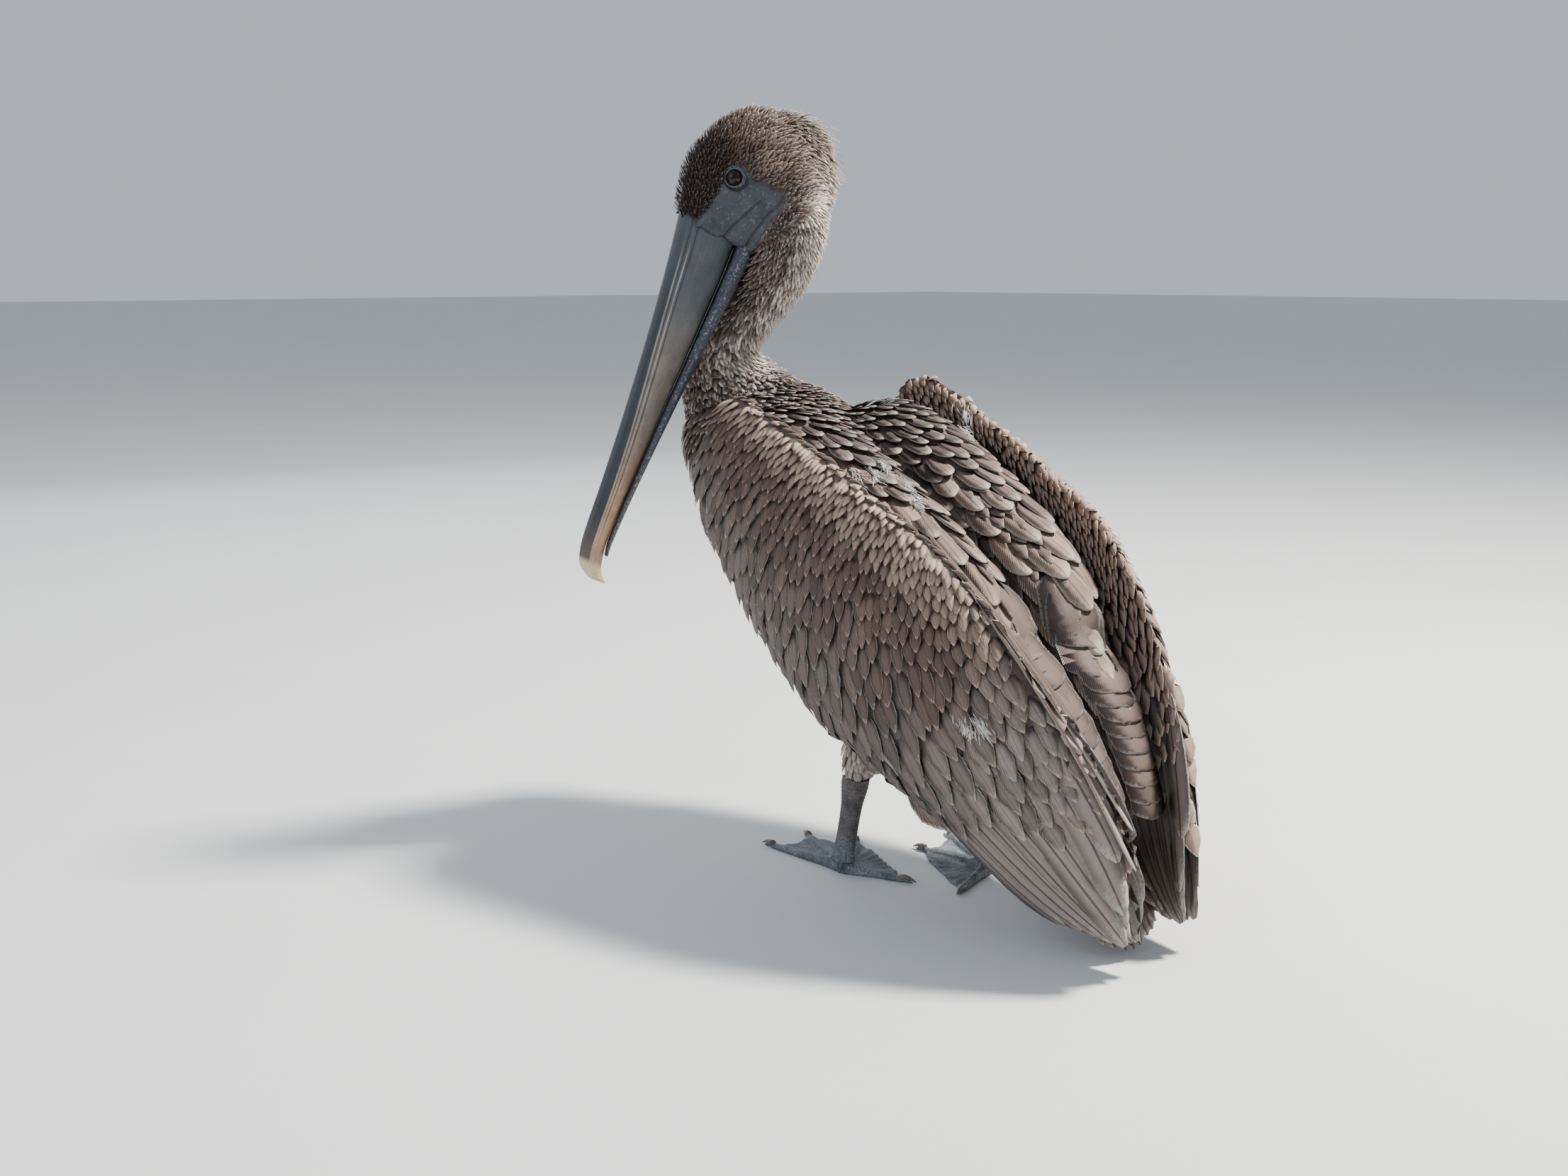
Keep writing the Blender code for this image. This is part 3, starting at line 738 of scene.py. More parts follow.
def distance_to(ahead, up, outline, closed):
    """How far each place in the head's side view is from a broken line."""
    ends = np.roll(outline, -1, axis=0) if closed else outline[1:]
    best = np.full(len(ahead), 1.0)
    for (x0, y0), (x1, y1) in zip(outline, ends):
        dx, dy = x1 - x0, y1 - y0
        share = np.clip(((ahead - x0) * dx + (up - y0) * dy) / (dx * dx + dy * dy), 0, 1)
        best = np.minimum(best, np.hypot(ahead - x0 - share * dx, up - y0 - share * dy))
    return best


EYE_AHEAD, EYE_ABOVE, EYE_OUT = 0.0822, 0.0385, 0.0258
BILL_ROOT = head_point(0.1166, 0.0054, 0)


def bare_face(points):
    """1 on the naked slate skin from the gape to behind the eye, 0 under feathers."""
    ahead, up, side = head_place(points)
    within = np.zeros(len(ahead), bool)
    for (x0, y0), (x1, y1) in zip(FACE_OUTLINE, np.roll(FACE_OUTLINE, -1, axis=0)):
        crosses = (y0 > up) != (y1 > up)
        edge = x0 + (x1 - x0) * (up - y0) / (y1 - y0 + 1e-12)
        within ^= crosses & (ahead < edge)
    away = distance_to(ahead, up, FACE_OUTLINE, True) * np.where(within, 1, -1)
    ring = 0.0112 - np.hypot(ahead - EYE_AHEAD, up - EYE_ABOVE)
    away = np.maximum(away, ring)
    return ease(-0.0010, 0.0010, away) * ease(0.006, 0.012, np.abs(side))


skin = joined("skin", FLESH, 0.0044, 4)
points, normals, _ = arrays(skin)
x, along, above = body_place(points)
bare = bare_face(points)
on_head = ease(0.36, 0.42, points[:, 2])
depth = 0.0045 * (1 - on_head) + 0.0035 * on_head
depth = depth * (1 - bare)
moved = points - unit(normals) * depth[:, None]
moved = moved - ALONG * (0.30 * np.clip(along - 0.125, 0, 1) * (1 - on_head))[:, None]
move_points(skin, moved)
select_only(skin)
bpy.ops.object.mode_set(mode="EDIT")
bpy.ops.mesh.select_all(action="DESELECT")
bpy.ops.object.mode_set(mode="OBJECT")
skin.data.vertices.foreach_set("select", bare > 0.02)
faces_bare = [all(bare[v] > 0.02 for v in face.vertices) for face in skin.data.polygons]
skin.data.edges.foreach_set("select", np.zeros(len(skin.data.edges), bool))
skin.data.polygons.foreach_set("select", np.array(faces_bare))
bpy.ops.object.mode_set(mode="EDIT")
bpy.ops.mesh.subdivide(number_cuts=5)
bpy.ops.object.mode_set(mode="OBJECT")
points, normals, _ = arrays(skin)
bare = bare_face(points)
ahead, up, side = head_place(points)
crease = np.exp(-(distance_to(ahead, up, GAPE_FOLD, False) / 0.0011) ** 2)
crease = np.maximum(crease, np.exp(-(distance_to(ahead, up, MOUTH_FOLD, False) / 0.0012) ** 2))
wrinkle = np.sin(distance_to(ahead, up, GAPE_FOLD, False) * 2 * math.pi / 0.0028)
near_gape = np.exp(-((np.hypot(ahead - 0.070, up - 0.006)) / 0.016) ** 2)
crease = crease * ease(0.010, 0.016, np.abs(side)) * bare
push = -0.0012 * crease + 0.00022 * wrinkle * near_gape * bare
points = points + unit(normals) * push[:, None]
around_eye = np.hypot(ahead - EYE_AHEAD, up - EYE_ABOVE)
limit = EYE_OUT + 0.0030 + 0.0075 * ease(0.0088, 0.0150, around_eye)
over = np.clip(np.abs(side) - limit, 0, 0.02) * (around_eye < 0.018)
points = points - LEFT * (over * np.sign(side))[:, None]
reach = (points - BILL_ROOT) @ BILL_FORWARD
sway = 0.0060 + 0.0010 * np.sin((points @ BILL_UP) * 2 * math.pi / 0.023)
points = points + BILL_FORWARD * (bare * sway * ease(-0.0075, -0.0010, reach))[:, None]
move_points(skin, points)
x, along, above = body_place(points)
on_head = ease(0.36, 0.42, points[:, 2])
tone = trunk_colour(points, normals)
wing_share = ease(0.075, 0.085, np.abs(x)) * (1 - on_head)
tone = blend(tone, wing_colour(points, normals) * 0.6, wing_share)
tone = blend(tone, head_colour(points, normals) * 0.75, on_head)
tone = blend(tone, DUSK * 0.6, ease(0.0, 0.10, along) * (1 - on_head))
tone = blend(tone, CREAM * 0.8, ease(0.16, 0.13, points[:, 2]) * ease(0.08, 0.04, along))
colour_attribute(skin.data, "tint", tone * 0.7)
point_values(skin.data, "bare", bare)
# The crease mask presses the folds in above and is also painted dark in the skin's finish as painted
# shade.
point_values(skin.data, "crease", crease)
skin.data.shade_smooth()
print("skin:", len(skin.data.vertices), "vertices,", int((bare > 0.5).sum()), "on the bare face,",
      sum(len(face.vertices) - 2 for face in skin.data.polygons), "triangles")


# %% Give the skin its finish
def skin_material():
    material, tree, shader = new_material("Skin and bare face", 0.6)
    place = tree.nodes.new("ShaderNodeTexCoord").outputs["Object"]
    fine = noise(tree, place, 600.0, 4.0)
    broad = noise(tree, place, 70.0)
    slate = mixed(tree, between(tree, broad, 0.3, 0.7), tuple(SLATE * 0.36), tuple(SLATE * 0.74))
    freckle = between(tree, noise(tree, place, 330.0, 2.0), 0.55, 0.7)
    slate = mixed(tree, number(tree, "MULTIPLY", freckle, 0.14), slate, tuple(SILVER * 0.55))
    # Painted shade: the gape and mouth folds, already pressed in, are also painted nearly black.
    slate = mixed(tree, number(tree, "MULTIPLY", attribute(tree, "crease", "Fac"), 0.75), slate,
                  (0.012, 0.014, 0.018))
    scuff = between(tree, noise(tree, place, 190.0, 5.0, 0.7), 0.63, 0.70)
    slate = mixed(tree, number(tree, "MULTIPLY", scuff, 0.5), slate, tuple(SILVER * 0.6))
    naked = attribute(tree, "bare", "Fac")
    colour = mixed(tree, naked, attribute(tree, "tint", "Color"), slate)
    tree.links.new(colour, shader.inputs["Base Color"])
    wave = tree.nodes.new("ShaderNodeTexWave")
    wave.inputs["Scale"].default_value = 90.0
    wave.inputs["Distortion"].default_value = 6.0
    wave.inputs["Detail"].default_value = 2.0
    turn = tree.nodes.new("ShaderNodeMapping")
    turn.inputs["Rotation"].default_value = (0.4, 0.5, 0.6)
    tree.links.new(place, turn.inputs["Vector"])
    tree.links.new(turn.outputs[0], wave.inputs["Vector"])
    height = number(tree, "MULTIPLY_ADD", fine, 0.6, wave.outputs["Fac"])
    bump(tree, shader, height, 0.3, 0.0006)
    return material


skin.data.materials.append(skin_material())
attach(skin, "root")
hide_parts(*FLESH)

# %% [markdown]
# ## Head and neck feathers
# The head wears short stiff tufts that lie back from the bill over the crown and run down the
# neck. They are small and crowded, so each is a three-sided thorn-shaped vane.


# %% Lay the head and neck tufts
def head_lie(points, normals):
    """Back from the bill over the crown, turning down at the nape and on down the neck."""
    ahead, up, _ = head_place(points)
    _, down = neck_middle(points)
    back = -HEAD_FORWARD * 1.0 + HEAD_UP * 0.15
    share = ease(0.045, -0.010, ahead)
    share = np.maximum(share, ease(-0.012, -0.035, up))
    return blend(back, down, share)


def head_spacing(points, normals):
    """Tufts 2.3 mm apart on the head and wider down the neck."""
    return 0.0020 + 0.0012 * ease(0.60, 0.40, points[:, 2])


def on_head_coat(points, normals):
    return (bare_face(points) < 0.5) & (points[:, 2] > 0.375)


roots, facing, ways, gaps = scatter("head", on_head_coat, head_spacing, head_lie, 11, 0.7, 7, 0.006)
random = np.random.default_rng(12)
nape = ease(0.02, -0.01, head_place(roots)[0]) * ease(-0.03, 0.0, head_place(roots)[1])
stray = nape * (random.random(len(roots)) > 0.84)
lengths = gaps * (2.3 + 1.1 * random.random(len(roots))) * (1 + 1.3 * nape + 0.9 * stray)
ways = unit(ways + 0.22 * random.normal(size=ways.shape))
line, upper = walk(trees["head"], roots, facing, ways, lengths, THORN[0], 0.55)
made = vanes(line, upper, gaps * 0.62, THORN, 13, 0.0032, 0.0022 + 0.0030 * nape + 0.0050 * stray, 0.1,
             0.0003, 3)
tint = head_colour(roots, facing)
dark = ease(0.03, 0.06, head_place(roots)[0]) * ease(0.0, 0.02, head_place(roots)[1])
rim = blend(blend(tint, CREAM, 0.55), blend(tint, BUFF, 0.30), dark)
chance = random.random(len(rim))
rim = blend(rim, tint, (chance < 0.35) * 0.8)
# Painted shade: the random dark tufts are darker on the front of the neck, the side turned away from
# the lamp.
front = ease(0.60, 0.55, roots[:, 2]) * ease(0.9, 0.1, (unit(facing) * unit(-LEVEL)).sum(axis=1))
tint = blend(tint, DUSK, (chance < 0.45) * 0.75 * np.maximum(front, 0.25))
rim = blend(rim, DUSK, (chance < 0.22) * 0.8)
rim = blend(rim, WHITE, (chance > 0.86) * 0.6 * (1 - 0.8 * dark))
coat("coat_head_neck", [(made, tint, rim, neck_wrapped(roots))], BRISTLE)
print("tufts:", len(roots))

# %% [markdown]
# ## Breast, belly and thigh feathers
# Soft body feathers point back along the body from the base of the neck. They are brown on
# the breast with pale flecks, and nearly white on the belly and at the tops of the legs.


# %% Lay the body feathers
def trunk_lie(points, normals):
    x, along, _ = body_place(points)
    spread = unit(points - (body_point(0, -0.43, 0.20)))
    flow = blend(ALONG + 0 * points, spread, ease(-0.20, -0.40, along) * 0.75)
    leg = ease(0.155, 0.125, points[:, 2]) * ease(0.020, 0.032, np.abs(x)) * ease(0.09, 0.05, along)
    return blend(flow, -UP + 0 * points, leg)


def trunk_spacing(points, normals):
    along = body_place(points)[1]
    thigh = ease(0.165, 0.140, points[:, 2]) * ease(0.09, 0.05, along)
    return (0.0048 + 0.0040 * ease(-0.42, -0.15, along)) * (1 - 0.52 * thigh)


def on_trunk_coat(points, normals):
    return (points[:, 2] < 0.445) & (points[:, 2] > 0.070)


roots, facing, gaps, line, upper = lay_tract(
    "trunk", (on_trunk_coat, trunk_spacing, trunk_lie), 21, 8, ROUND, 0.55, 0.08, (3.2, 1.0), 0.6)
made = vanes(line, upper, gaps * 0.80, ROUND, 22, 0.0042, 0.0012)
tint = trunk_colour(roots, facing)
rim = blend(tint, CREAM, 0.35 + 0.3 * (random.random(len(roots)) < 0.3))
coat("coat_body", [(made, tint, rim, wrapped(roots, -0.5, 0.12, 0, 0.17))], SOFT)
print("body feathers:", len(roots))

# %% [markdown]
# ## Wing coverts
# The folded wing is tiled with coverts: tiny scales along the leading ridge that grow down
# the wing and towards the tail. They hang down and back at the shoulder and swing round until
# they lie along the flight feathers. Each has a thin pale fringe.


# %% Lay the coverts of both wings
def wing_lie(points, normals):
    x, along, _ = body_place(points)
    fall = np.interp(along, [-0.38, -0.30, -0.20, -0.10, 0.0, 0.19], [72, 66, 54, 38, 14, 8])
    outward = unit(normals)[:, 0] * np.sign(x)
    fall = np.radians(fall) * ease(-0.2, 0.6, outward)
    way = ALONG * np.cos(fall)[:, None] - ABOVE * np.sin(fall)[:, None]
    lean = ease(0.5, 1.0, unit(normals) @ ABOVE)[:, None] * np.sign(x)[:, None]
    return way + np.array([0.5, 0, 0]) * lean * (along < 0)[:, None]


def wing_share(points):
    _, along, above = body_place(points)
    ridge, edge = wing_edges(along)
    return np.clip((above - edge) / (ridge - edge), 0, 1)


def wing_spacing(points, normals):
    along = body_place(points)[1]
    share = wing_share(points)
    size = 0.0040 + 0.0052 * ease(0.95, 0.25, share)
    size = size + 0.0016 * ease(-0.32, -0.10, along) * ease(1.0, 0.6, share)
    return size + 0.0036 * ease(-0.10, 0.02, along)


def on_wing_coat(points, normals):
    along = body_place(points)[1]
    share = wing_share(points)
    return along < np.minimum(-0.030 + 0.17 * share, 0.085) + 0.050 * ease(0.84, 0.92, share)


for side, wing, seed in ((1, "wing_left", 31), (-1, "wing_right", 41)):
    roots, facing, gaps, line, upper = lay_tract(
        wing, (on_wing_coat, wing_spacing, wing_lie), seed, 10, POINTED, 0.6, 0.05, (3.3, 0.8))
    rear = ease(0.0, 0.05, body_place(roots)[1])
    inner = ease(0.45, 0.10, facing[:, 0] * side)
    made = vanes(line, upper, gaps * (0.88 + 0.25 * inner), POINTED, seed + 1, 0.0042,
                 0.0010 + 0.0012 * rear, 0.06)
    chance = random.random(len(roots))[:, None]
    tint = wing_colour(roots, facing) * (0.62 + 0.40 * chance)
    # Painted light: coverts on the inner slope are lightened towards tan, with cream fringes. This is
    # strongest on the far wing, whose inner slope faces away from the lamp.
    tint = blend(tint, TAN * 1.25, inner * (0.75 if side < 0 else 0.3))
    share = wing_share(roots)
    rim = blend(blend(tint, SILVER, 0.85), blend(tint, BUFF, 0.85), ease(0.4, 0.8, share))
    rim = blend(rim, CREAM, inner * 0.5)
    coat("coat_" + wing, [(made, tint, rim, wing_wrapped(roots, side))],
         COVERT)
    print(wing, "coverts:", len(roots))

# %% [markdown]
# ## Scapulars and the back
# Over the shoulders lie the scapulars. They start as small dark scales at the base of the
# neck and grow to broad round tan feathers with pale fringes that cover the folded wings'
# inner edges. In the low strip between the two sides smaller feathers fill the gap.


# %% Lay the scapulars
def back_lie(points, normals):
    x = body_place(points)[0]
    return ALONG + np.array([0.16, 0, 0]) * (np.clip(x, -0.08, 0.08) / 0.08)[:, None]


def back_spacing(points, normals):
    along = body_place(points)[1]
    return np.interp(along, [-0.40, -0.30, -0.20, -0.10, -0.03, 0.1],
                     [0.0050, 0.0085, 0.0120, 0.0165, 0.0190, 0.0180])


def on_back_coat(points, normals):
    _, along, above = body_place(points)
    return (along < -0.008) & (above > 0.19) & (unit(normals) @ ABOVE > 0.15) & ~in_valley(points)


def in_valley(points):
    """The low strip along the middle of the back, where the two sides' scapulars part."""
    x, along, _ = body_place(points)
    return (np.abs(x) < 0.016) & (along > -0.20)


def on_valley_coat(points, normals):
    x, along, _ = body_place(points)
    return (np.abs(x) < 0.040) & (along > -0.215) & (along < 0.085) & (unit(normals) @ ABOVE > -0.2)


def valley_spacing(points, normals):
    along = body_place(points)[1]
    return 0.0075 + 0.0035 * ease(-0.20, 0.0, along)


roots, facing, gaps, line, upper = lay_tract(
    "back", (on_valley_coat, valley_spacing, back_lie), 57, 12, POINTED, 0.7, 0.07, (2.8, 0.8))
made = vanes(line, upper, gaps * 0.85, POINTED, 58, 0.0040, 0.0006, 0.06, 0.0003)
tint = blend(DUSK * 0.60, BROWN * 0.80, random.random(len(roots)))
lowest = (made, tint, blend(tint, CREAM, 0.30), wrapped(roots, *BACK_WRAP))
print("small feathers in the valley:", len(roots))

roots, facing, gaps, line, upper = lay_tract(
    "back", (on_back_coat, back_spacing, back_lie), 51, 12, BROAD, 0.7, 0.06, (3.1, 0.9))
upper = unit(upper + ABOVE * 0.8)
made = vanes(line, upper, gaps * 0.96, BROAD, 52, 0.0045, 0.0016, 0.08, 0.0003)
x, along, above = body_place(roots)
chance = random.random(len(roots))
tint = blend(DUSK * 0.62, TAN * 0.80, ease(-0.30, -0.12, along + 0.08 * (chance - 0.5)))
tint = tint * (0.82 + 0.36 * chance)[:, None]
rim = blend(tint, CREAM, 0.52)
highest = (made, tint, rim, wrapped(roots, *BACK_WRAP))
coat("coat_back", [lowest, highest], SCAPULAR)
print("scapulars:", len(roots))

# %% [markdown]
# ## Flight feathers
# Below the coverts lie the long quills of the folded wing. Each runs along the wing at its own
# height, and the lower ones lie beneath the upper ones, so the tips end in a stair. We send a
# ray in from the side to find the wing at each point of a quill's path.


# %% Lay the primaries
def cast(tree, start, way):
    """Where a ray meets the region, with the surface's outward side."""
    hit, normal, _, _ = tree.ray_cast(Vector(start), Vector(way))
    if hit is None:
        hit, normal, _, _ = tree.find_nearest(Vector(start) + Vector(way) * 0.15)
    normal = normal if normal.dot(Vector(way)) < 0 else -normal
    return np.array(hit), np.array(normal)


def quill_path(tree, side, share, start, end, shares, inner):
    """A quill's middle line at one share of the wing's height, seen from outside or inside."""
    path, upper = [], []
    for step in shares:
        along = start + (end - start) * step
        ridge, edge = wing_edges(along)
        above = edge + (ridge - edge) * share
        way = np.array([side if inner else -side, 0, 0.0])
        begin = body_point(0.0 if inner else 0.30 * side, along, above)
        hit, normal, _, _ = tree.ray_cast(Vector(begin), Vector(way))
        if hit is None and path:
            offset = body_place(path[-1])[0]
            point, normal = body_point(offset, along, above), upper[-1]
        else:
            point, normal = cast(tree, begin, way)
        path.append(point)
        upper.append(normal)
    path, upper = np.array(path), np.array(upper)
    for _ in range(3):
        path[1:-1] = (path[:-2] + 2 * path[1:-1] + path[2:]) / 4
        upper[1:-1] = unit(upper[:-2] + 2 * upper[1:-1] + upper[2:])
    return path, upper


QUILLS = 11
for side, wing, seed in ((1, "wing_left", 61), (-1, "wing_right", 71)):
    batches = []
    for inner in (False, True):
        lines, uppers = [], []
        for index in range(QUILLS):
            share = 0.10 + 0.83 * index / (QUILLS - 1)
            tip = 0.192 - 0.050 * ((share - 0.55) / 0.5) ** 2 - 0.02 * (share > 0.9)
            if index < 3:
                tip = 0.150 + 0.012 * index
            path, upper = quill_path(trees[wing], side, share, 0.0 + 0.03 * share, tip, LONG[0],
                                     inner)
            path = path + upper * (0.00022 * index - 0.0012)
            lines.append(path)
            uppers.append(upper)
        lines, uppers = np.array(lines), np.array(uppers)
        halves = np.full(QUILLS, 0.0130)
        made = vanes(lines, uppers, halves, LONG, seed + inner, 0.0030, 0.0016, 0.10, 0.0005,
                     ragged=0.10)
        # Painted shade: the copy on the inside of the wing is darker than the outside copy.
        tint = np.repeat((ASH * (0.62 if inner else 0.92))[None], QUILLS, axis=0)
        rim = blend(tint, SILVER, 0.55)
        batches.append((made, tint, rim, wing_wrapped(lines[:, 0], side)))
    coat("quills_" + wing, batches, QUILL)

# %% [markdown]
# ## Secondaries and the long tertials
# Between the two wings the secondaries fold into a neat ladder: each shows only its rounded
# tip with a thin pale edge. Along the inner side of the left wing's ridge the long tertials
# lie like straps, dark with a broad cream edge.


# %% Lay the ladder and the straps
batches = []
for side in (1, -1):
    count = 13
    at = np.linspace(-0.060, 0.098, count)
    x = side * np.interp(at, [-0.045, 0.0, 0.045, 0.11], [0.042, 0.041, 0.036, 0.029])
    roots, facing = [], []
    for along, off in zip(at, x):
        point, normal = cast(trees["back"], body_point(off, along - 0.032, 0.40), -ABOVE)
        roots.append(point)
        facing.append(normal)
    roots, facing = np.array(roots), np.array(facing)
    ways = np.repeat(ALONG[None] + np.array([[-0.20 * side, 0, 0]]), count, axis=0)
    ways = unit(ways + 0.05 * random.normal(size=ways.shape))
    line, upper = walk(trees["back"], roots, facing, ways, np.full(count, 0.062), LONG[0], 0.75)
    upper = unit(upper + ABOVE * 1.2)
    made = vanes(line, upper, np.interp(at, [-0.05, 0.1], [0.030, 0.020]), LONG, 81 + side, 0.0030,
                 0.0030, 0.16, 0.0004)
    tint = np.repeat(blend(BROWN, ASH, 0.35)[None] * 0.72, count, axis=0)
    tint = tint * (0.85 + 0.3 * random.random(count))[:, None]
    batches.append((made, tint, blend(tint, SILVER, 0.60), wrapped(roots, *BACK_WRAP)))
coat("coat_secondaries", batches, feather_material("Secondaries", 0.90, 0.12, 160.0, 0.25, 0.65))

STRAPS = (  # where each strap starts and ends: to the side, along and above, then its half width
    ((0.088, -0.140, 0.322), (0.028, 0.104, 0.266), 0.0135),
    ((0.092, -0.115, 0.328), (0.038, 0.132, 0.268), 0.0130),
    ((0.092, -0.075, 0.330), (0.046, 0.158, 0.256), 0.0125))
batches = []
for side in (1,):
    lines, uppers, halves = [], [], []
    for order, (start, end, half) in enumerate(STRAPS):
        path = []
        for step in LONG[0]:
            place = np.array(start) * (1 - step) + np.array(end) * step
            place[2] += 0.010 * math.sin(math.pi * step) - 0.002 * order
            path.append(body_point(side * place[0], place[1], place[2]))
        lines.append(path)
        lean = unit(ABOVE * 1.0 - np.array([0.55 * side, 0, 0]))
        uppers.append(np.repeat(lean[None], len(path), axis=0))
        halves.append(half)
    lines, uppers = np.array(lines), np.array(uppers)
    made = vanes(lines, uppers, np.array(halves), LONG, 86 + side, 0.003, 0.001, 0.15, 0.0005)
    tint = np.repeat((BROWN * 0.8)[None], len(STRAPS), axis=0)
    batches.append((made, tint, blend(tint, CREAM, 0.7),
                    wrapped(lines[:, 0], *BACK_WRAP) + [[0, 0.004 * side]]))
coat("coat_tertials", batches, feather_material("Tertials", 0.62, 0.6, 160.0, 0.15, 0.65))

# %% [markdown]
# ## Tail
# The tail is short, dark and rounded. A dozen feathers fan from the root, the middle pair on
# top, and the same fan is laid below so that it looks right from underneath.

# %% Lay the tail feathers
batches = []
for under in (False, True):
    lines, uppers, halves = [], [], []
    for order, spread in enumerate((0, 0.2, -0.2, 0.4, -0.4, 0.6, -0.6, 0.8, -0.8, 1.0, -1.0)):
        path, upper = [], []
        for step in LONG[0]:
            along = 0.035 + (0.150 - 0.024 * spread * spread) * step
            off = spread * (0.014 + 0.030 * step)
            way = ABOVE if under else -ABOVE
            begin = body_point(off, along, 0.05 if under else 0.30)
            if trees["tail"].ray_cast(Vector(begin), Vector(way))[0] is None and path:
                path.append(path[-1] + begin - before)
                upper.append(upper[-1])
            else:
                point, normal = cast(trees["tail"], begin, way)
                path.append(point + normal * (0.0030 - 0.00022 * order))
                upper.append(normal)
            before = begin
        lines.append(path)
        uppers.append(upper)
    lines, uppers = np.array(lines), unit(np.array(uppers))
    made = vanes(lines, uppers, np.full(len(lines), 0.0125), LONG, 91 + under, 0.001, 0.0005, 0.08,
                 0.0005)
    # Painted shade: the fan laid underneath is a little darker than the fan on top.
    tint = np.repeat((DUSK * (0.8 if under else 0.9))[None], len(lines), axis=0)
    batches.append((made, tint, blend(tint, SILVER, 0.45), wrapped(lines[:, 0], 0, 0.2, 0, 0.3)))
coat("coat_tail", batches, QUILL)

# %% [markdown]
# ## Loose white down
# Here and there the coverts have parted and a tuft of white down pushes through: at the
# shoulder, on the far wing and near the lower edge of the near wing.

# %% Lay the down
TUFTS = ((0.088, -0.235, 0.30), (0.075, -0.225, 0.30), (0.052, -0.205, 0.29), (0.060, -0.185, 0.29),
         (-0.098, -0.300, 0.28), (-0.090, -0.280, 0.28), (0.150, 0.012, 0.262),
         (0.150, 0.030, 0.275), (-0.150, 0.020, 0.250), (0.056, -0.235, 0.285))
down_random = np.random.default_rng(95)
roots, facing, ways = [], [], []
for place in TUFTS:
    near, normal, _, _ = everything.find_nearest(Vector(body_point(*place)))
    for _ in range(60):
        spread = down_random.normal(size=3) * 0.0022 + ALONG * down_random.normal() * 0.0045
        roots.append(np.array(near) + spread)
        facing.append(np.array(normal))
        ways.append(unit(ALONG * 1.0 - ABOVE * 0.25 + np.array(normal) * 0.22
                         + down_random.normal(size=3) * 0.34))
roots, facing, ways = np.array(roots), np.array(facing), np.array(ways)
lengths = 0.003 + 0.008 * down_random.random(len(roots))
line, upper = walk(everything, roots, facing, ways, lengths, THORN[0], 0.85)
made = vanes(line, upper, np.full(len(roots), 0.00045), THORN, 96, 0.001, 0.0015, 0.0, 0.0003, 3)
tint = np.repeat(WHITE[None], len(roots), axis=0)
coat("coat_down", [(made, tint * 0.85, tint, wrapped(roots, *BACK_WRAP))], DOWN)

# %% [markdown]
# ## The bill
# A pelican's upper bill is a long flat blade: a dark ridge down the middle, a fine groove on
# each side of it, smooth horn flanks and a hooked nail. The lower half is two thin bars with
# the folded pouch between. Each half is lofted from ovals, with the grooves pressed in.

# %% Loft the bill
UPPER_BILL = np.array([
    (-.009, .0390, -.0180, .0188), (0, .0385, -.0185, .0195), (.040, .0330, -.0185, .0175),
    (.100, .0265, -.0160, .0150), (.180, .0200, -.0125, .0130), (.250, .0160, -.0100, .0122),
    (.298, .0140, -.0090, .0118), (.318, .0115, -.0110, .0095), (.331, .0065, -.0150, .0065),
    (.339, -.0050, -.0220, .0036)])
LOWER_BILL = np.array([
    (-.009, -.0186, -.0360, .0165), (0, -.0188, -.0370, .0180), (.040, -.0188, -.0345, .0160),
    (.100, -.0163, -.0285, .0135), (.180, -.0128, -.0215, .0115), (.250, -.0103, -.0165, .0105),
    (.298, -.0094, -.0143, .0092), (.314, -.0113, -.0150, .0065)])


def through(rows, steps):
    """A smooth curve through the rows."""
    result = []
    padded = np.vstack([2 * rows[0] - rows[1], rows, 2 * rows[-1] - rows[-2]])
    for index in range(1, len(rows)):
        p0, p1, p2, p3 = padded[index - 1:index + 3]
        for t in np.arange(steps) / steps:
            result.append(0.5 * (2 * p1 + (p2 - p0) * t + (2 * p0 - 5 * p1 + 4 * p2 - p3) * t ** 2
                                 + (3 * p1 - p0 - 3 * p2 + p3) * t ** 3))
    return np.array(result + [rows[-1]])


def dent(turn, at, wide):
    return np.exp(-((np.abs(turn) - at) / wide) ** 2)


def bill_half(name, rows, count, shape):
    rows = through(rows, 9)
    turn = np.linspace(-math.pi, math.pi, count, endpoint=False) + math.pi / count
    points, lay = [], []
    for along, high, low, half in rows:
        middle, reach = (high + low) / 2, (high - low) / 2
        wide, tall = shape(turn, along, half, reach)
        for across, up, angle in zip(wide, tall, turn):
            points.append(BILL_ROOT + BILL_FORWARD * along + BILL_UP * (middle + up) + LEFT * across)
            lay.append((abs(angle) / math.pi, along / 0.339, angle / math.pi))
    points, lay = np.array(points), np.array(lay)
    rings = len(rows)
    step = np.arange(rings - 1)[:, None] * count
    at = np.arange(count)[None]
    after = (at + 1) % count
    quads = np.stack([step + at, step + after, step + count + after, step + count + at], axis=-1)
    caps = np.stack([np.arange(count)[::-1], np.arange(count) + (rings - 1) * count])
    piece, _ = mesh_from(name, points, quads.reshape(-1, 4), caps)
    point_values(piece.data, "lay", lay)
    select_only(piece)
    bpy.ops.object.mode_set(mode="EDIT")
    bpy.ops.mesh.select_all(action="SELECT")
    bpy.ops.mesh.normals_make_consistent(inside=False)
    bpy.ops.object.mode_set(mode="OBJECT")
    piece.data.shade_smooth()
    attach(piece, "root")
    print(name, len(points), "points")
    return piece


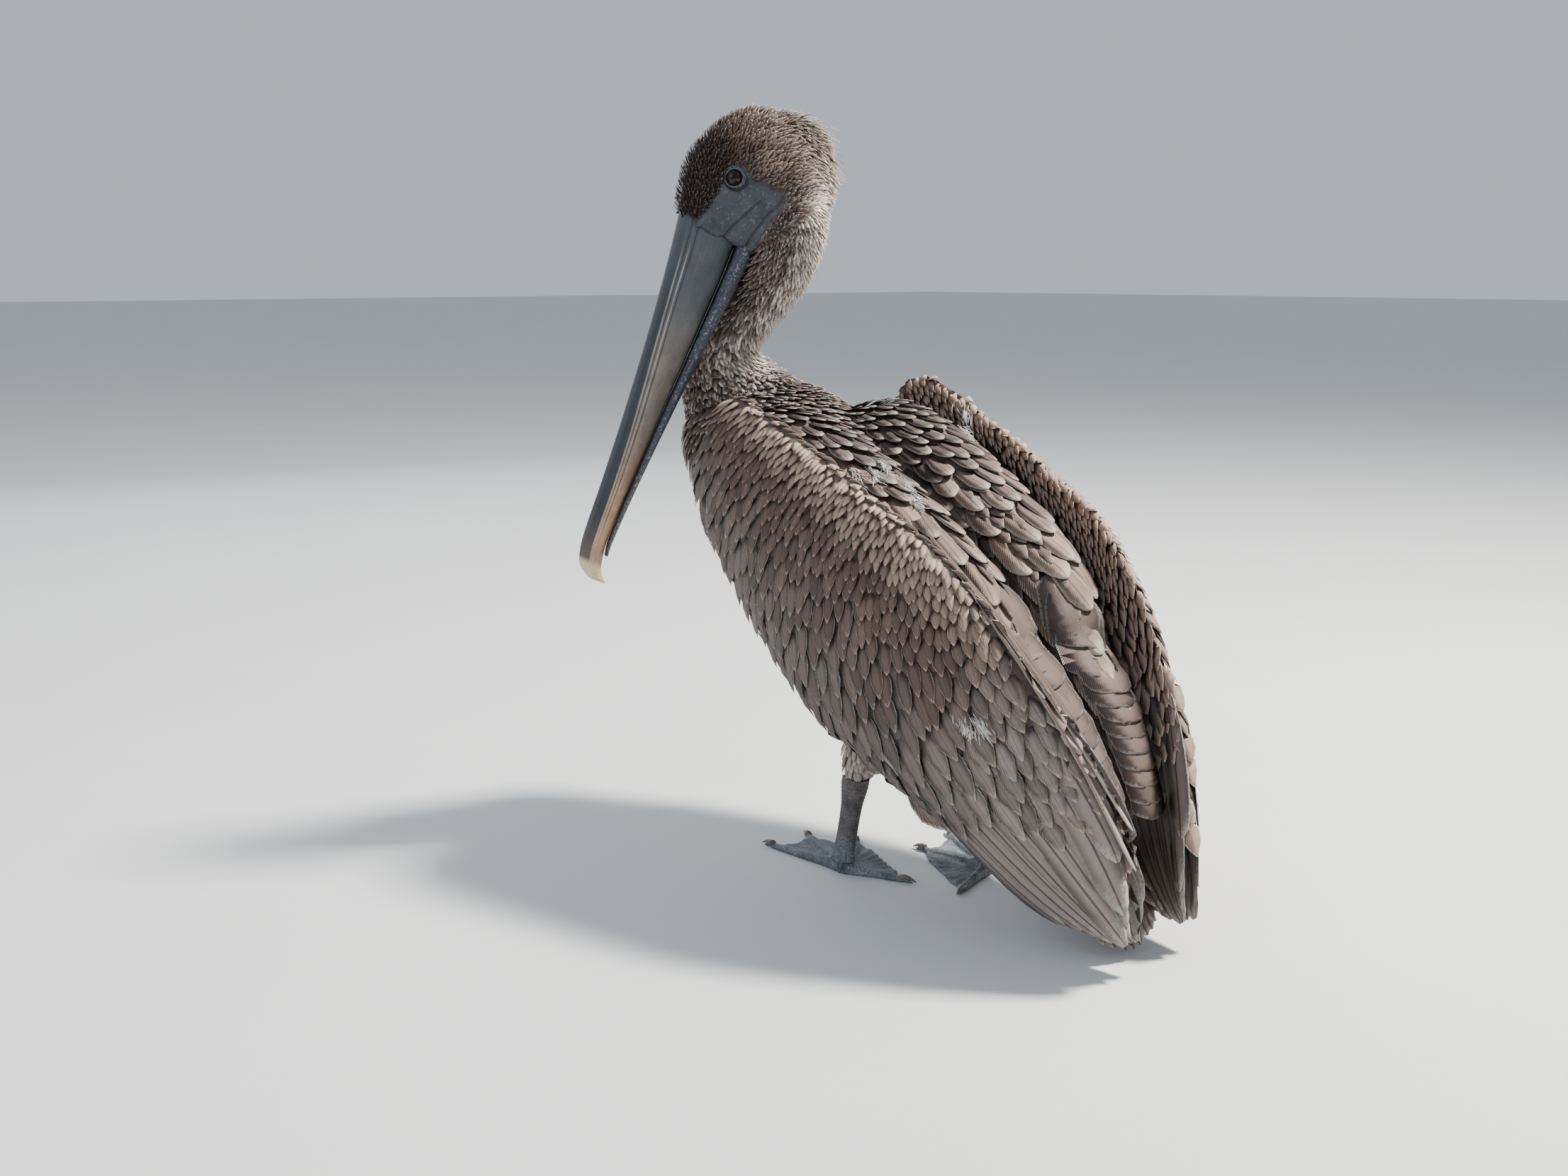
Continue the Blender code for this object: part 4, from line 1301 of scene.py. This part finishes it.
def upper_shape(turn, along, half, reach):
    """A flat-topped ridge with two fine grooves beside it, over smooth flanks."""
    fade = 1 - ease(0.28, 0.33, along)
    first = 0.80 + 0.62 * ease(0.05, 0.30, along)
    dents = 0.0013 * dent(turn, first + 0.42, 0.06) + 0.0007 * dent(turn, first + 0.16, 0.05)
    wide = np.sin(turn) * (half - fade * dents)
    tall = np.cos(turn) * (reach - fade * dents)
    return wide, tall - 0.0006 * fade * dent(turn, 0.45, 0.25)


def lower_shape(turn, along, half, reach):
    """Two bars with the pouch folded small between them."""
    fade = 1 - ease(0.24, 0.31, along)
    folds = sum(0.0009 * dent(turn, at, 0.07) for at in (2.1, 2.4, 2.7, 3.0))
    wide = np.sin(turn) * (half - fade * folds)
    tall = np.cos(turn) * (reach - fade * folds)
    return wide, tall


bill_upper = bill_half("bill_upper_horn", UPPER_BILL, 64, upper_shape)
bill_lower = bill_half("bill_lower_horn", LOWER_BILL, 64, lower_shape)
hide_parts("bill_upper")
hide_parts("bill_lower")


# %% Give the bill its horn
def horn_material(name, lower):
    material, tree, shader = new_material(name, 0.42)
    split = tree.nodes.new("ShaderNodeSeparateXYZ")
    tree.links.new(attribute(tree, "lay", "Vector"), split.inputs[0])
    turn, along, _ = split.outputs
    place = tree.nodes.new("ShaderNodeTexCoord").outputs["Object"]
    broad = noise(tree, place, 60.0, 4.0)
    fine = noise(tree, place, 500.0, 3.0)
    stretch = tree.nodes.new("ShaderNodeMapping")
    stretch.inputs["Scale"].default_value = (320.0, 6.0, 1.0)
    tree.links.new(attribute(tree, "lay", "Vector"), stretch.inputs["Vector"])
    streaks = noise(tree, stretch.outputs[0], 1.0, 2.0)
    slate, dark = tuple(SLATE * 0.62), tuple(SLATE * 0.14)
    if lower:
        colour = mixed(tree, between(tree, along, 0.35, 0.95), tuple(hue(60, 63, 78)),
                       tuple(hue(78, 74, 78)))
        spots = between(tree, fine, 0.56, 0.66)
        colour = mixed(tree, number(tree, "MULTIPLY", spots, 0.5), colour, tuple(SILVER * 0.8))
        under = between(tree, turn, 0.60, 0.75)
        colour = mixed(tree, number(tree, "MULTIPLY", under, 0.6), colour, slate)
        colour = mixed(tree, between(tree, turn, 0.22, 0.14), colour, dark)
    else:
        base = tuple(hue(66, 73, 78))
        middle = mixed(tree, between(tree, along, 0.10, 0.50), base, tuple(hue(122, 112, 103)))
        middle = mixed(tree, between(tree, along, 0.50, 0.90), middle, tuple(hue(186, 150, 118)))
        ridge = mixed(tree, between(tree, along, 0.0, 0.25), tuple(SLATE * 0.70),
                      tuple(SLATE * 0.38))
        ridge = mixed(tree, between(tree, along, 0.80, 0.96), ridge, tuple(hue(88, 76, 70)))
        spread = between(tree, along, 0.15, 0.90)
        first = number(tree, "MULTIPLY_ADD", spread, 0.197, 0.255)
        off = number(tree, "SUBTRACT", turn, first)
        colour = mixed(tree, between(tree, off, -0.012, 0.020), ridge, middle)
        lining = between(tree, along, 0.03, 0.16)
        for at, wide, tone in ((0.020, 0.012, CREAM * 0.55), (0.095, 0.012, CREAM * 0.7)):
            gap = number(tree, "ABSOLUTE", number(tree, "SUBTRACT", off, at))
            line = number(tree, "MULTIPLY", between(tree, gap, wide, wide * 0.3), lining)
            line = number(tree, "MULTIPLY", line, between(tree, streaks, 0.30, 0.58))
            colour = mixed(tree, number(tree, "MULTIPLY", line, 0.75), colour, tuple(tone))
        # Painted shade: dark lines along the two pressed-in grooves, fading towards the tip as the
        # grooves do.
        for at, wide in ((0.052, 0.012), (0.132, 0.012)):
            gap = number(tree, "ABSOLUTE", number(tree, "SUBTRACT", off, at))
            line = between(tree, gap, wide, wide * 0.3)
            line = number(tree, "MULTIPLY", line, between(tree, along, 0.92, 0.80))
            colour = mixed(tree, number(tree, "MULTIPLY", line, 0.85), colour, dark)
        colour = mixed(tree, between(tree, turn, 0.84, 0.90), colour, dark)
        nail = between(tree, along, 0.945, 0.965)
        colour = mixed(tree, nail, colour, tuple(hue(222, 202, 158)))
    soil = number(tree, "MULTIPLY_ADD", broad, 1.1, 0.42)
    soil = number(tree, "ADD", soil, number(tree, "MULTIPLY_ADD", streaks, 0.9, -0.45))
    soil = number(tree, "ADD", soil, number(tree, "MULTIPLY_ADD", fine, 0.6, -0.30))
    grey = tree.nodes.new("ShaderNodeCombineColor")
    for socket in grey.inputs[:3]:
        tree.links.new(soil, socket)
    colour = mixed(tree, 1.0, colour, grey.outputs[0], "MULTIPLY")
    tree.links.new(colour, shader.inputs["Base Color"])
    tree.links.new(number(tree, "MULTIPLY_ADD", broad, 0.3, 0.28), shader.inputs["Roughness"])
    bump(tree, shader, number(tree, "ADD", streaks, number(tree, "MULTIPLY", fine, 0.7)), 0.5,
         0.0008)
    return material


bill_upper.data.materials.append(horn_material("Upper horn", False))
bill_lower.data.materials.append(horn_material("Lower horn and pouch", True))

# %% [markdown]
# ## The eyes
# A nearly black ball sits in a double ring of pale blue-grey lid. The ball starts as a sphere,
# and its front is drawn out a little for the cornea. The lids are two rings with soft folds.


# %% Model the eyes and lids
def eye_material():
    material, tree, shader = new_material("Eye", 0.10)
    shader.inputs["Specular IOR Level"].default_value = 0.22
    split = tree.nodes.new("ShaderNodeSeparateXYZ")
    tree.links.new(attribute(tree, "lay", "Vector"), split.inputs[0])
    place = tree.nodes.new("ShaderNodeTexCoord").outputs["Object"]
    rays = noise(tree, place, 900.0)
    iris = mixed(tree, rays, (0.006, 0.004, 0.003), (0.022, 0.012, 0.008))
    pupil = between(tree, split.outputs[0], 0.42, 0.36)
    colour = mixed(tree, pupil, iris, (0.002, 0.002, 0.002))
    tree.links.new(colour, shader.inputs["Base Color"])
    shader.inputs["Coat Weight"].default_value = 0.08
    shader.inputs["Coat Roughness"].default_value = 0.03
    return material


def lid_material():
    material, tree, shader = new_material("Lids", 0.5)
    place = tree.nodes.new("ShaderNodeTexCoord").outputs["Object"]
    tone = mixed(tree, noise(tree, place, 300.0), tuple(hue(58, 66, 76)), tuple(hue(112, 120, 128)))
    tree.links.new(tone, shader.inputs["Base Color"])
    bump(tree, shader, noise(tree, place, 900.0), 0.4, 0.0004)
    return material


EYE_FINISH, LID_FINISH = eye_material(), lid_material()
for side, name in ((1, "left"), (-1, "right")):
    centre = head_point(EYE_AHEAD, EYE_ABOVE, side * EYE_OUT)
    gaze = unit(LEFT * side + HEAD_FORWARD * 0.10 + HEAD_UP * 0.02)
    bpy.ops.object.select_all(action="DESELECT")
    bpy.ops.mesh.primitive_uv_sphere_add(segments=48, ring_count=24, radius=0.0089,
                                         location=Vector(centre))
    ball = bpy.context.object
    ball.name = "eye_ball_" + name
    bpy.ops.object.transform_apply(location=True, rotation=True, scale=True)
    points, _, _ = arrays(ball)
    away = points - centre
    facing = unit(away) @ gaze
    points = points + gaze * (0.0007 * ease(0.75, 1.0, facing))[:, None]
    move_points(ball, points)
    angle = np.arccos(np.clip(facing, -1, 1))
    point_values(ball.data, "lay", np.stack([angle, angle, angle], 1))
    ball.data.materials.append(EYE_FINISH)
    ball.data.shade_smooth()
    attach(ball, "root")
    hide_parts("eye_" + name)
    rotation = Vector(gaze).to_track_quat("Z", "Y").to_euler()
    rings = []
    for major, minor, out in ((0.0080, 0.0008, 0.0046), (0.0096, 0.0010, 0.0030)):
        bpy.ops.mesh.primitive_torus_add(major_radius=major, minor_radius=minor, major_segments=56,
                                         minor_segments=14, rotation=rotation,
                                         location=Vector(centre + gaze * out))
        rings.append(bpy.context.object)
    for ring in rings:
        ring.select_set(True)
    bpy.ops.object.join()
    lids = bpy.context.object
    lids.name = "lids_" + name
    bpy.ops.object.transform_apply(location=True, rotation=True, scale=True)
    points, normals, _ = arrays(lids)
    wave = speckle(points, 0.004, 5) - 0.5
    points = points + unit(normals) * (0.00055 * wave)[:, None]
    along_face = (points - centre) @ HEAD_FORWARD
    points = points - gaze * (0.10 * np.abs(along_face))[:, None]
    move_points(lids, points)
    lids.data.materials.append(LID_FINISH)
    lids.data.shade_smooth()
    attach(lids, "root")
    print(lids.name, "round", [round(v, 3) for v in centre])

# %% [markdown]
# ## Legs and feet
# The legs are wrinkled grey skin with net-like scales, and the four toes are joined by blue
# webs with soft folds. The solids already hold the shape, so we join and smooth them,
# press in the wrinkles and folds, and let the shader draw the net of scales.

# %% Model the legs and feet
LEG_SKIN, leg_tree, leg_shader = new_material("Leg skin", 0.55)
place = leg_tree.nodes.new("ShaderNodeTexCoord").outputs["Object"]
cells = leg_tree.nodes.new("ShaderNodeTexVoronoi")
cells.feature = "DISTANCE_TO_EDGE"
cells.inputs["Scale"].default_value = 420.0
leg_tree.links.new(place, cells.inputs["Vector"])
net = between(leg_tree, cells.outputs["Distance"], 0.02, 0.22)
broad = noise(leg_tree, place, 55.0, 4.0)
high = leg_tree.nodes.new("ShaderNodeSeparateXYZ")
leg_tree.links.new(place, high.inputs[0])
raised = between(leg_tree, high.outputs[2], 0.012, 0.045)
web_tone = mixed(leg_tree, between(leg_tree, broad, 0.3, 0.7), tuple(hue(74, 84, 94)),
                 tuple(hue(128, 136, 142)))
leg_tone = mixed(leg_tree, between(leg_tree, broad, 0.3, 0.7), tuple(hue(66, 62, 62)),
                 tuple(hue(112, 104, 100)))
tone = mixed(leg_tree, raised, web_tone, leg_tone)
tone = mixed(leg_tree, number(leg_tree, "MULTIPLY_ADD", net, -0.55, 0.55), tone, (0.02, 0.02, 0.024))
leg_tree.links.new(tone, leg_shader.inputs["Base Color"])
height = number(leg_tree, "ADD", net, number(leg_tree, "MULTIPLY", broad, 1.2))
bump(leg_tree, leg_shader, height, 0.6, 0.0007)
CLAW_HORN, claw_tree, claw_shader = new_material("Claw", 0.35)
place = claw_tree.nodes.new("ShaderNodeTexCoord").outputs["Object"]
tone = mixed(claw_tree, noise(claw_tree, place, 260.0), (0.035, 0.030, 0.028), (0.22, 0.19, 0.15))
claw_tree.links.new(tone, claw_shader.inputs["Base Color"])
bump(claw_tree, claw_shader, noise(claw_tree, place, 700.0), 0.2, 0.0003)

FEET = {"left": ((0.051, -0.042), 18, 1), "right": ((-0.050, 0.042), 28, -1)}
TOES = (("hallux", -140, 0.064), ("inner", -34, 0.080), ("middle", -3, 0.102), ("outer", 24, 0.098))
for name, (spot, toe_in, out) in FEET.items():
    leg = joined("leg_skin_" + name, ["leg_" + name, "foot_" + name], 0.0011, 3)
    points, normals, _ = arrays(leg)
    heel = np.exp(-((points[:, 2] - 0.086) / 0.014) ** 2)
    rings = np.sin(points[:, 2] * 2 * math.pi / 0.0036 + 2 * speckle(points, 0.02, 3))
    shank = ease(0.012, 0.022, points[:, 2])
    centre = np.array([*spot, 0.0]) + STAND
    away = points[:, :2] - centre[:2]
    bearing = np.arctan2(away[:, 0], -away[:, 1])
    reach = np.hypot(away[:, 0], away[:, 1])
    fold = np.sin(bearing * 26 + 3 * reach / 0.1) * ease(0.015, 0.05, reach) * (1 - shank)
    top = ease(0.2, 0.8, normals[:, 2])
    push = 0.0004 * rings * (0.35 + heel) * shank + 0.0006 * fold * top
    points = points + unit(normals) * push[:, None]
    points[:, 2] = np.maximum(points[:, 2], 0.0)
    move_points(leg, points)
    leg.data.materials.append(LEG_SKIN)
    leg.data.shade_smooth()
    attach(leg, "root")
    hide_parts("leg_" + name, "foot_" + name)
    print(leg.name, len(points), "points")
    claws = []
    for toe, angle, length in TOES:
        turn = -math.radians(toe_in) + out * math.radians(angle)
        ahead = Vector((math.sin(turn), -math.cos(turn), 0))
        start = Vector(centre) + ahead * (length * 0.93 - 0.002)
        bpy.ops.object.select_all(action="DESELECT")
        bpy.ops.mesh.primitive_cone_add(vertices=16, radius1=0.0034, radius2=0.0005, depth=0.015,
                                        location=start + ahead * 0.0075 + Vector((0, 0, 0.0040)),
                                        rotation=ahead.to_track_quat("Z", "Y").to_euler())
        claw = bpy.context.object
        bpy.ops.object.mode_set(mode="EDIT")
        bpy.ops.mesh.select_all(action="SELECT")
        bpy.ops.mesh.subdivide(number_cuts=4)
        bpy.ops.object.mode_set(mode="OBJECT")
        bpy.ops.object.transform_apply(location=True, rotation=True, scale=True)
        for vertex in claw.data.vertices:
            gone = max(0.0, (vertex.co - start).dot(ahead)) / 0.015
            vertex.co.z = max(0.0002, vertex.co.z + 0.0016 * math.sin(gone * 2.6) - 0.0028 * gone ** 2)
        claws.append(claw)
    bpy.ops.object.select_all(action="DESELECT")
    for claw in claws:
        claw.select_set(True)
    bpy.context.view_layer.objects.active = claws[0]
    bpy.ops.object.join()
    claw = bpy.context.object
    claw.name = "claws_" + name
    claw.data.materials.append(CLAW_HORN)
    claw.data.shade_smooth()
    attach(claw, "root")

# %% [markdown]
# ## The floor and the light
# A plain pale floor and soft studio lamps: a warm one high beyond the bird's tail side, as the
# sun would be, and cooler soft fills so that the shaded flank still shows its feathers.

# %% Floor and lights
bpy.ops.object.select_all(action="DESELECT")
bpy.ops.mesh.primitive_plane_add(size=60, location=(0, 0, 0))
floor = bpy.context.object
floor.name = "floor"
material, tree, shader = new_material("Pale floor", 0.85)
place = tree.nodes.new("ShaderNodeTexCoord").outputs["Object"]
soft = mixed(tree, noise(tree, place, 3.0), (0.60, 0.61, 0.62), (0.66, 0.665, 0.67))
tree.links.new(soft, shader.inputs["Base Color"])
floor.data.materials.append(material)


def lamp(name, way, distance, size, watts, colour):
    place = Vector(unit(np.array(way, float)) * distance) + Vector((0, 0, 0.35))
    bpy.ops.object.light_add(type="AREA", location=place)
    light = bpy.context.object
    light.name = name
    light.rotation_euler = (Vector((0, 0, 0.35)) - place).to_track_quat("-Z", "Y").to_euler()
    light.data.size = size
    light.data.energy = watts
    light.data.color = colour
    return light


lamp("key", 0.72 * RIGHT + 0.12 * VIEW + 1.15 * UP, 3.0, 0.45, 340, (1.0, 0.95, 0.88))
lamp("fill", -0.6 * VIEW - 0.7 * RIGHT + 0.5 * UP, 3.0, 2.2, 30, (0.82, 0.90, 1.0))
lamp("back_fill", 0.9 * VIEW - 0.5 * RIGHT + 0.5 * UP, 3.0, 2.5, 26, (0.92, 0.96, 1.0))
world = bpy.data.worlds.new("Studio")
bpy.context.scene.world = world
world.use_nodes = True
world.node_tree.nodes["Background"].inputs[0].default_value = (0.75, 0.82, 0.90, 1)
world.node_tree.nodes["Background"].inputs[1].default_value = 0.70
print("lit")

# %% Clear away the working copies and finish
for thing in regions.values():
    bpy.data.objects.remove(thing)
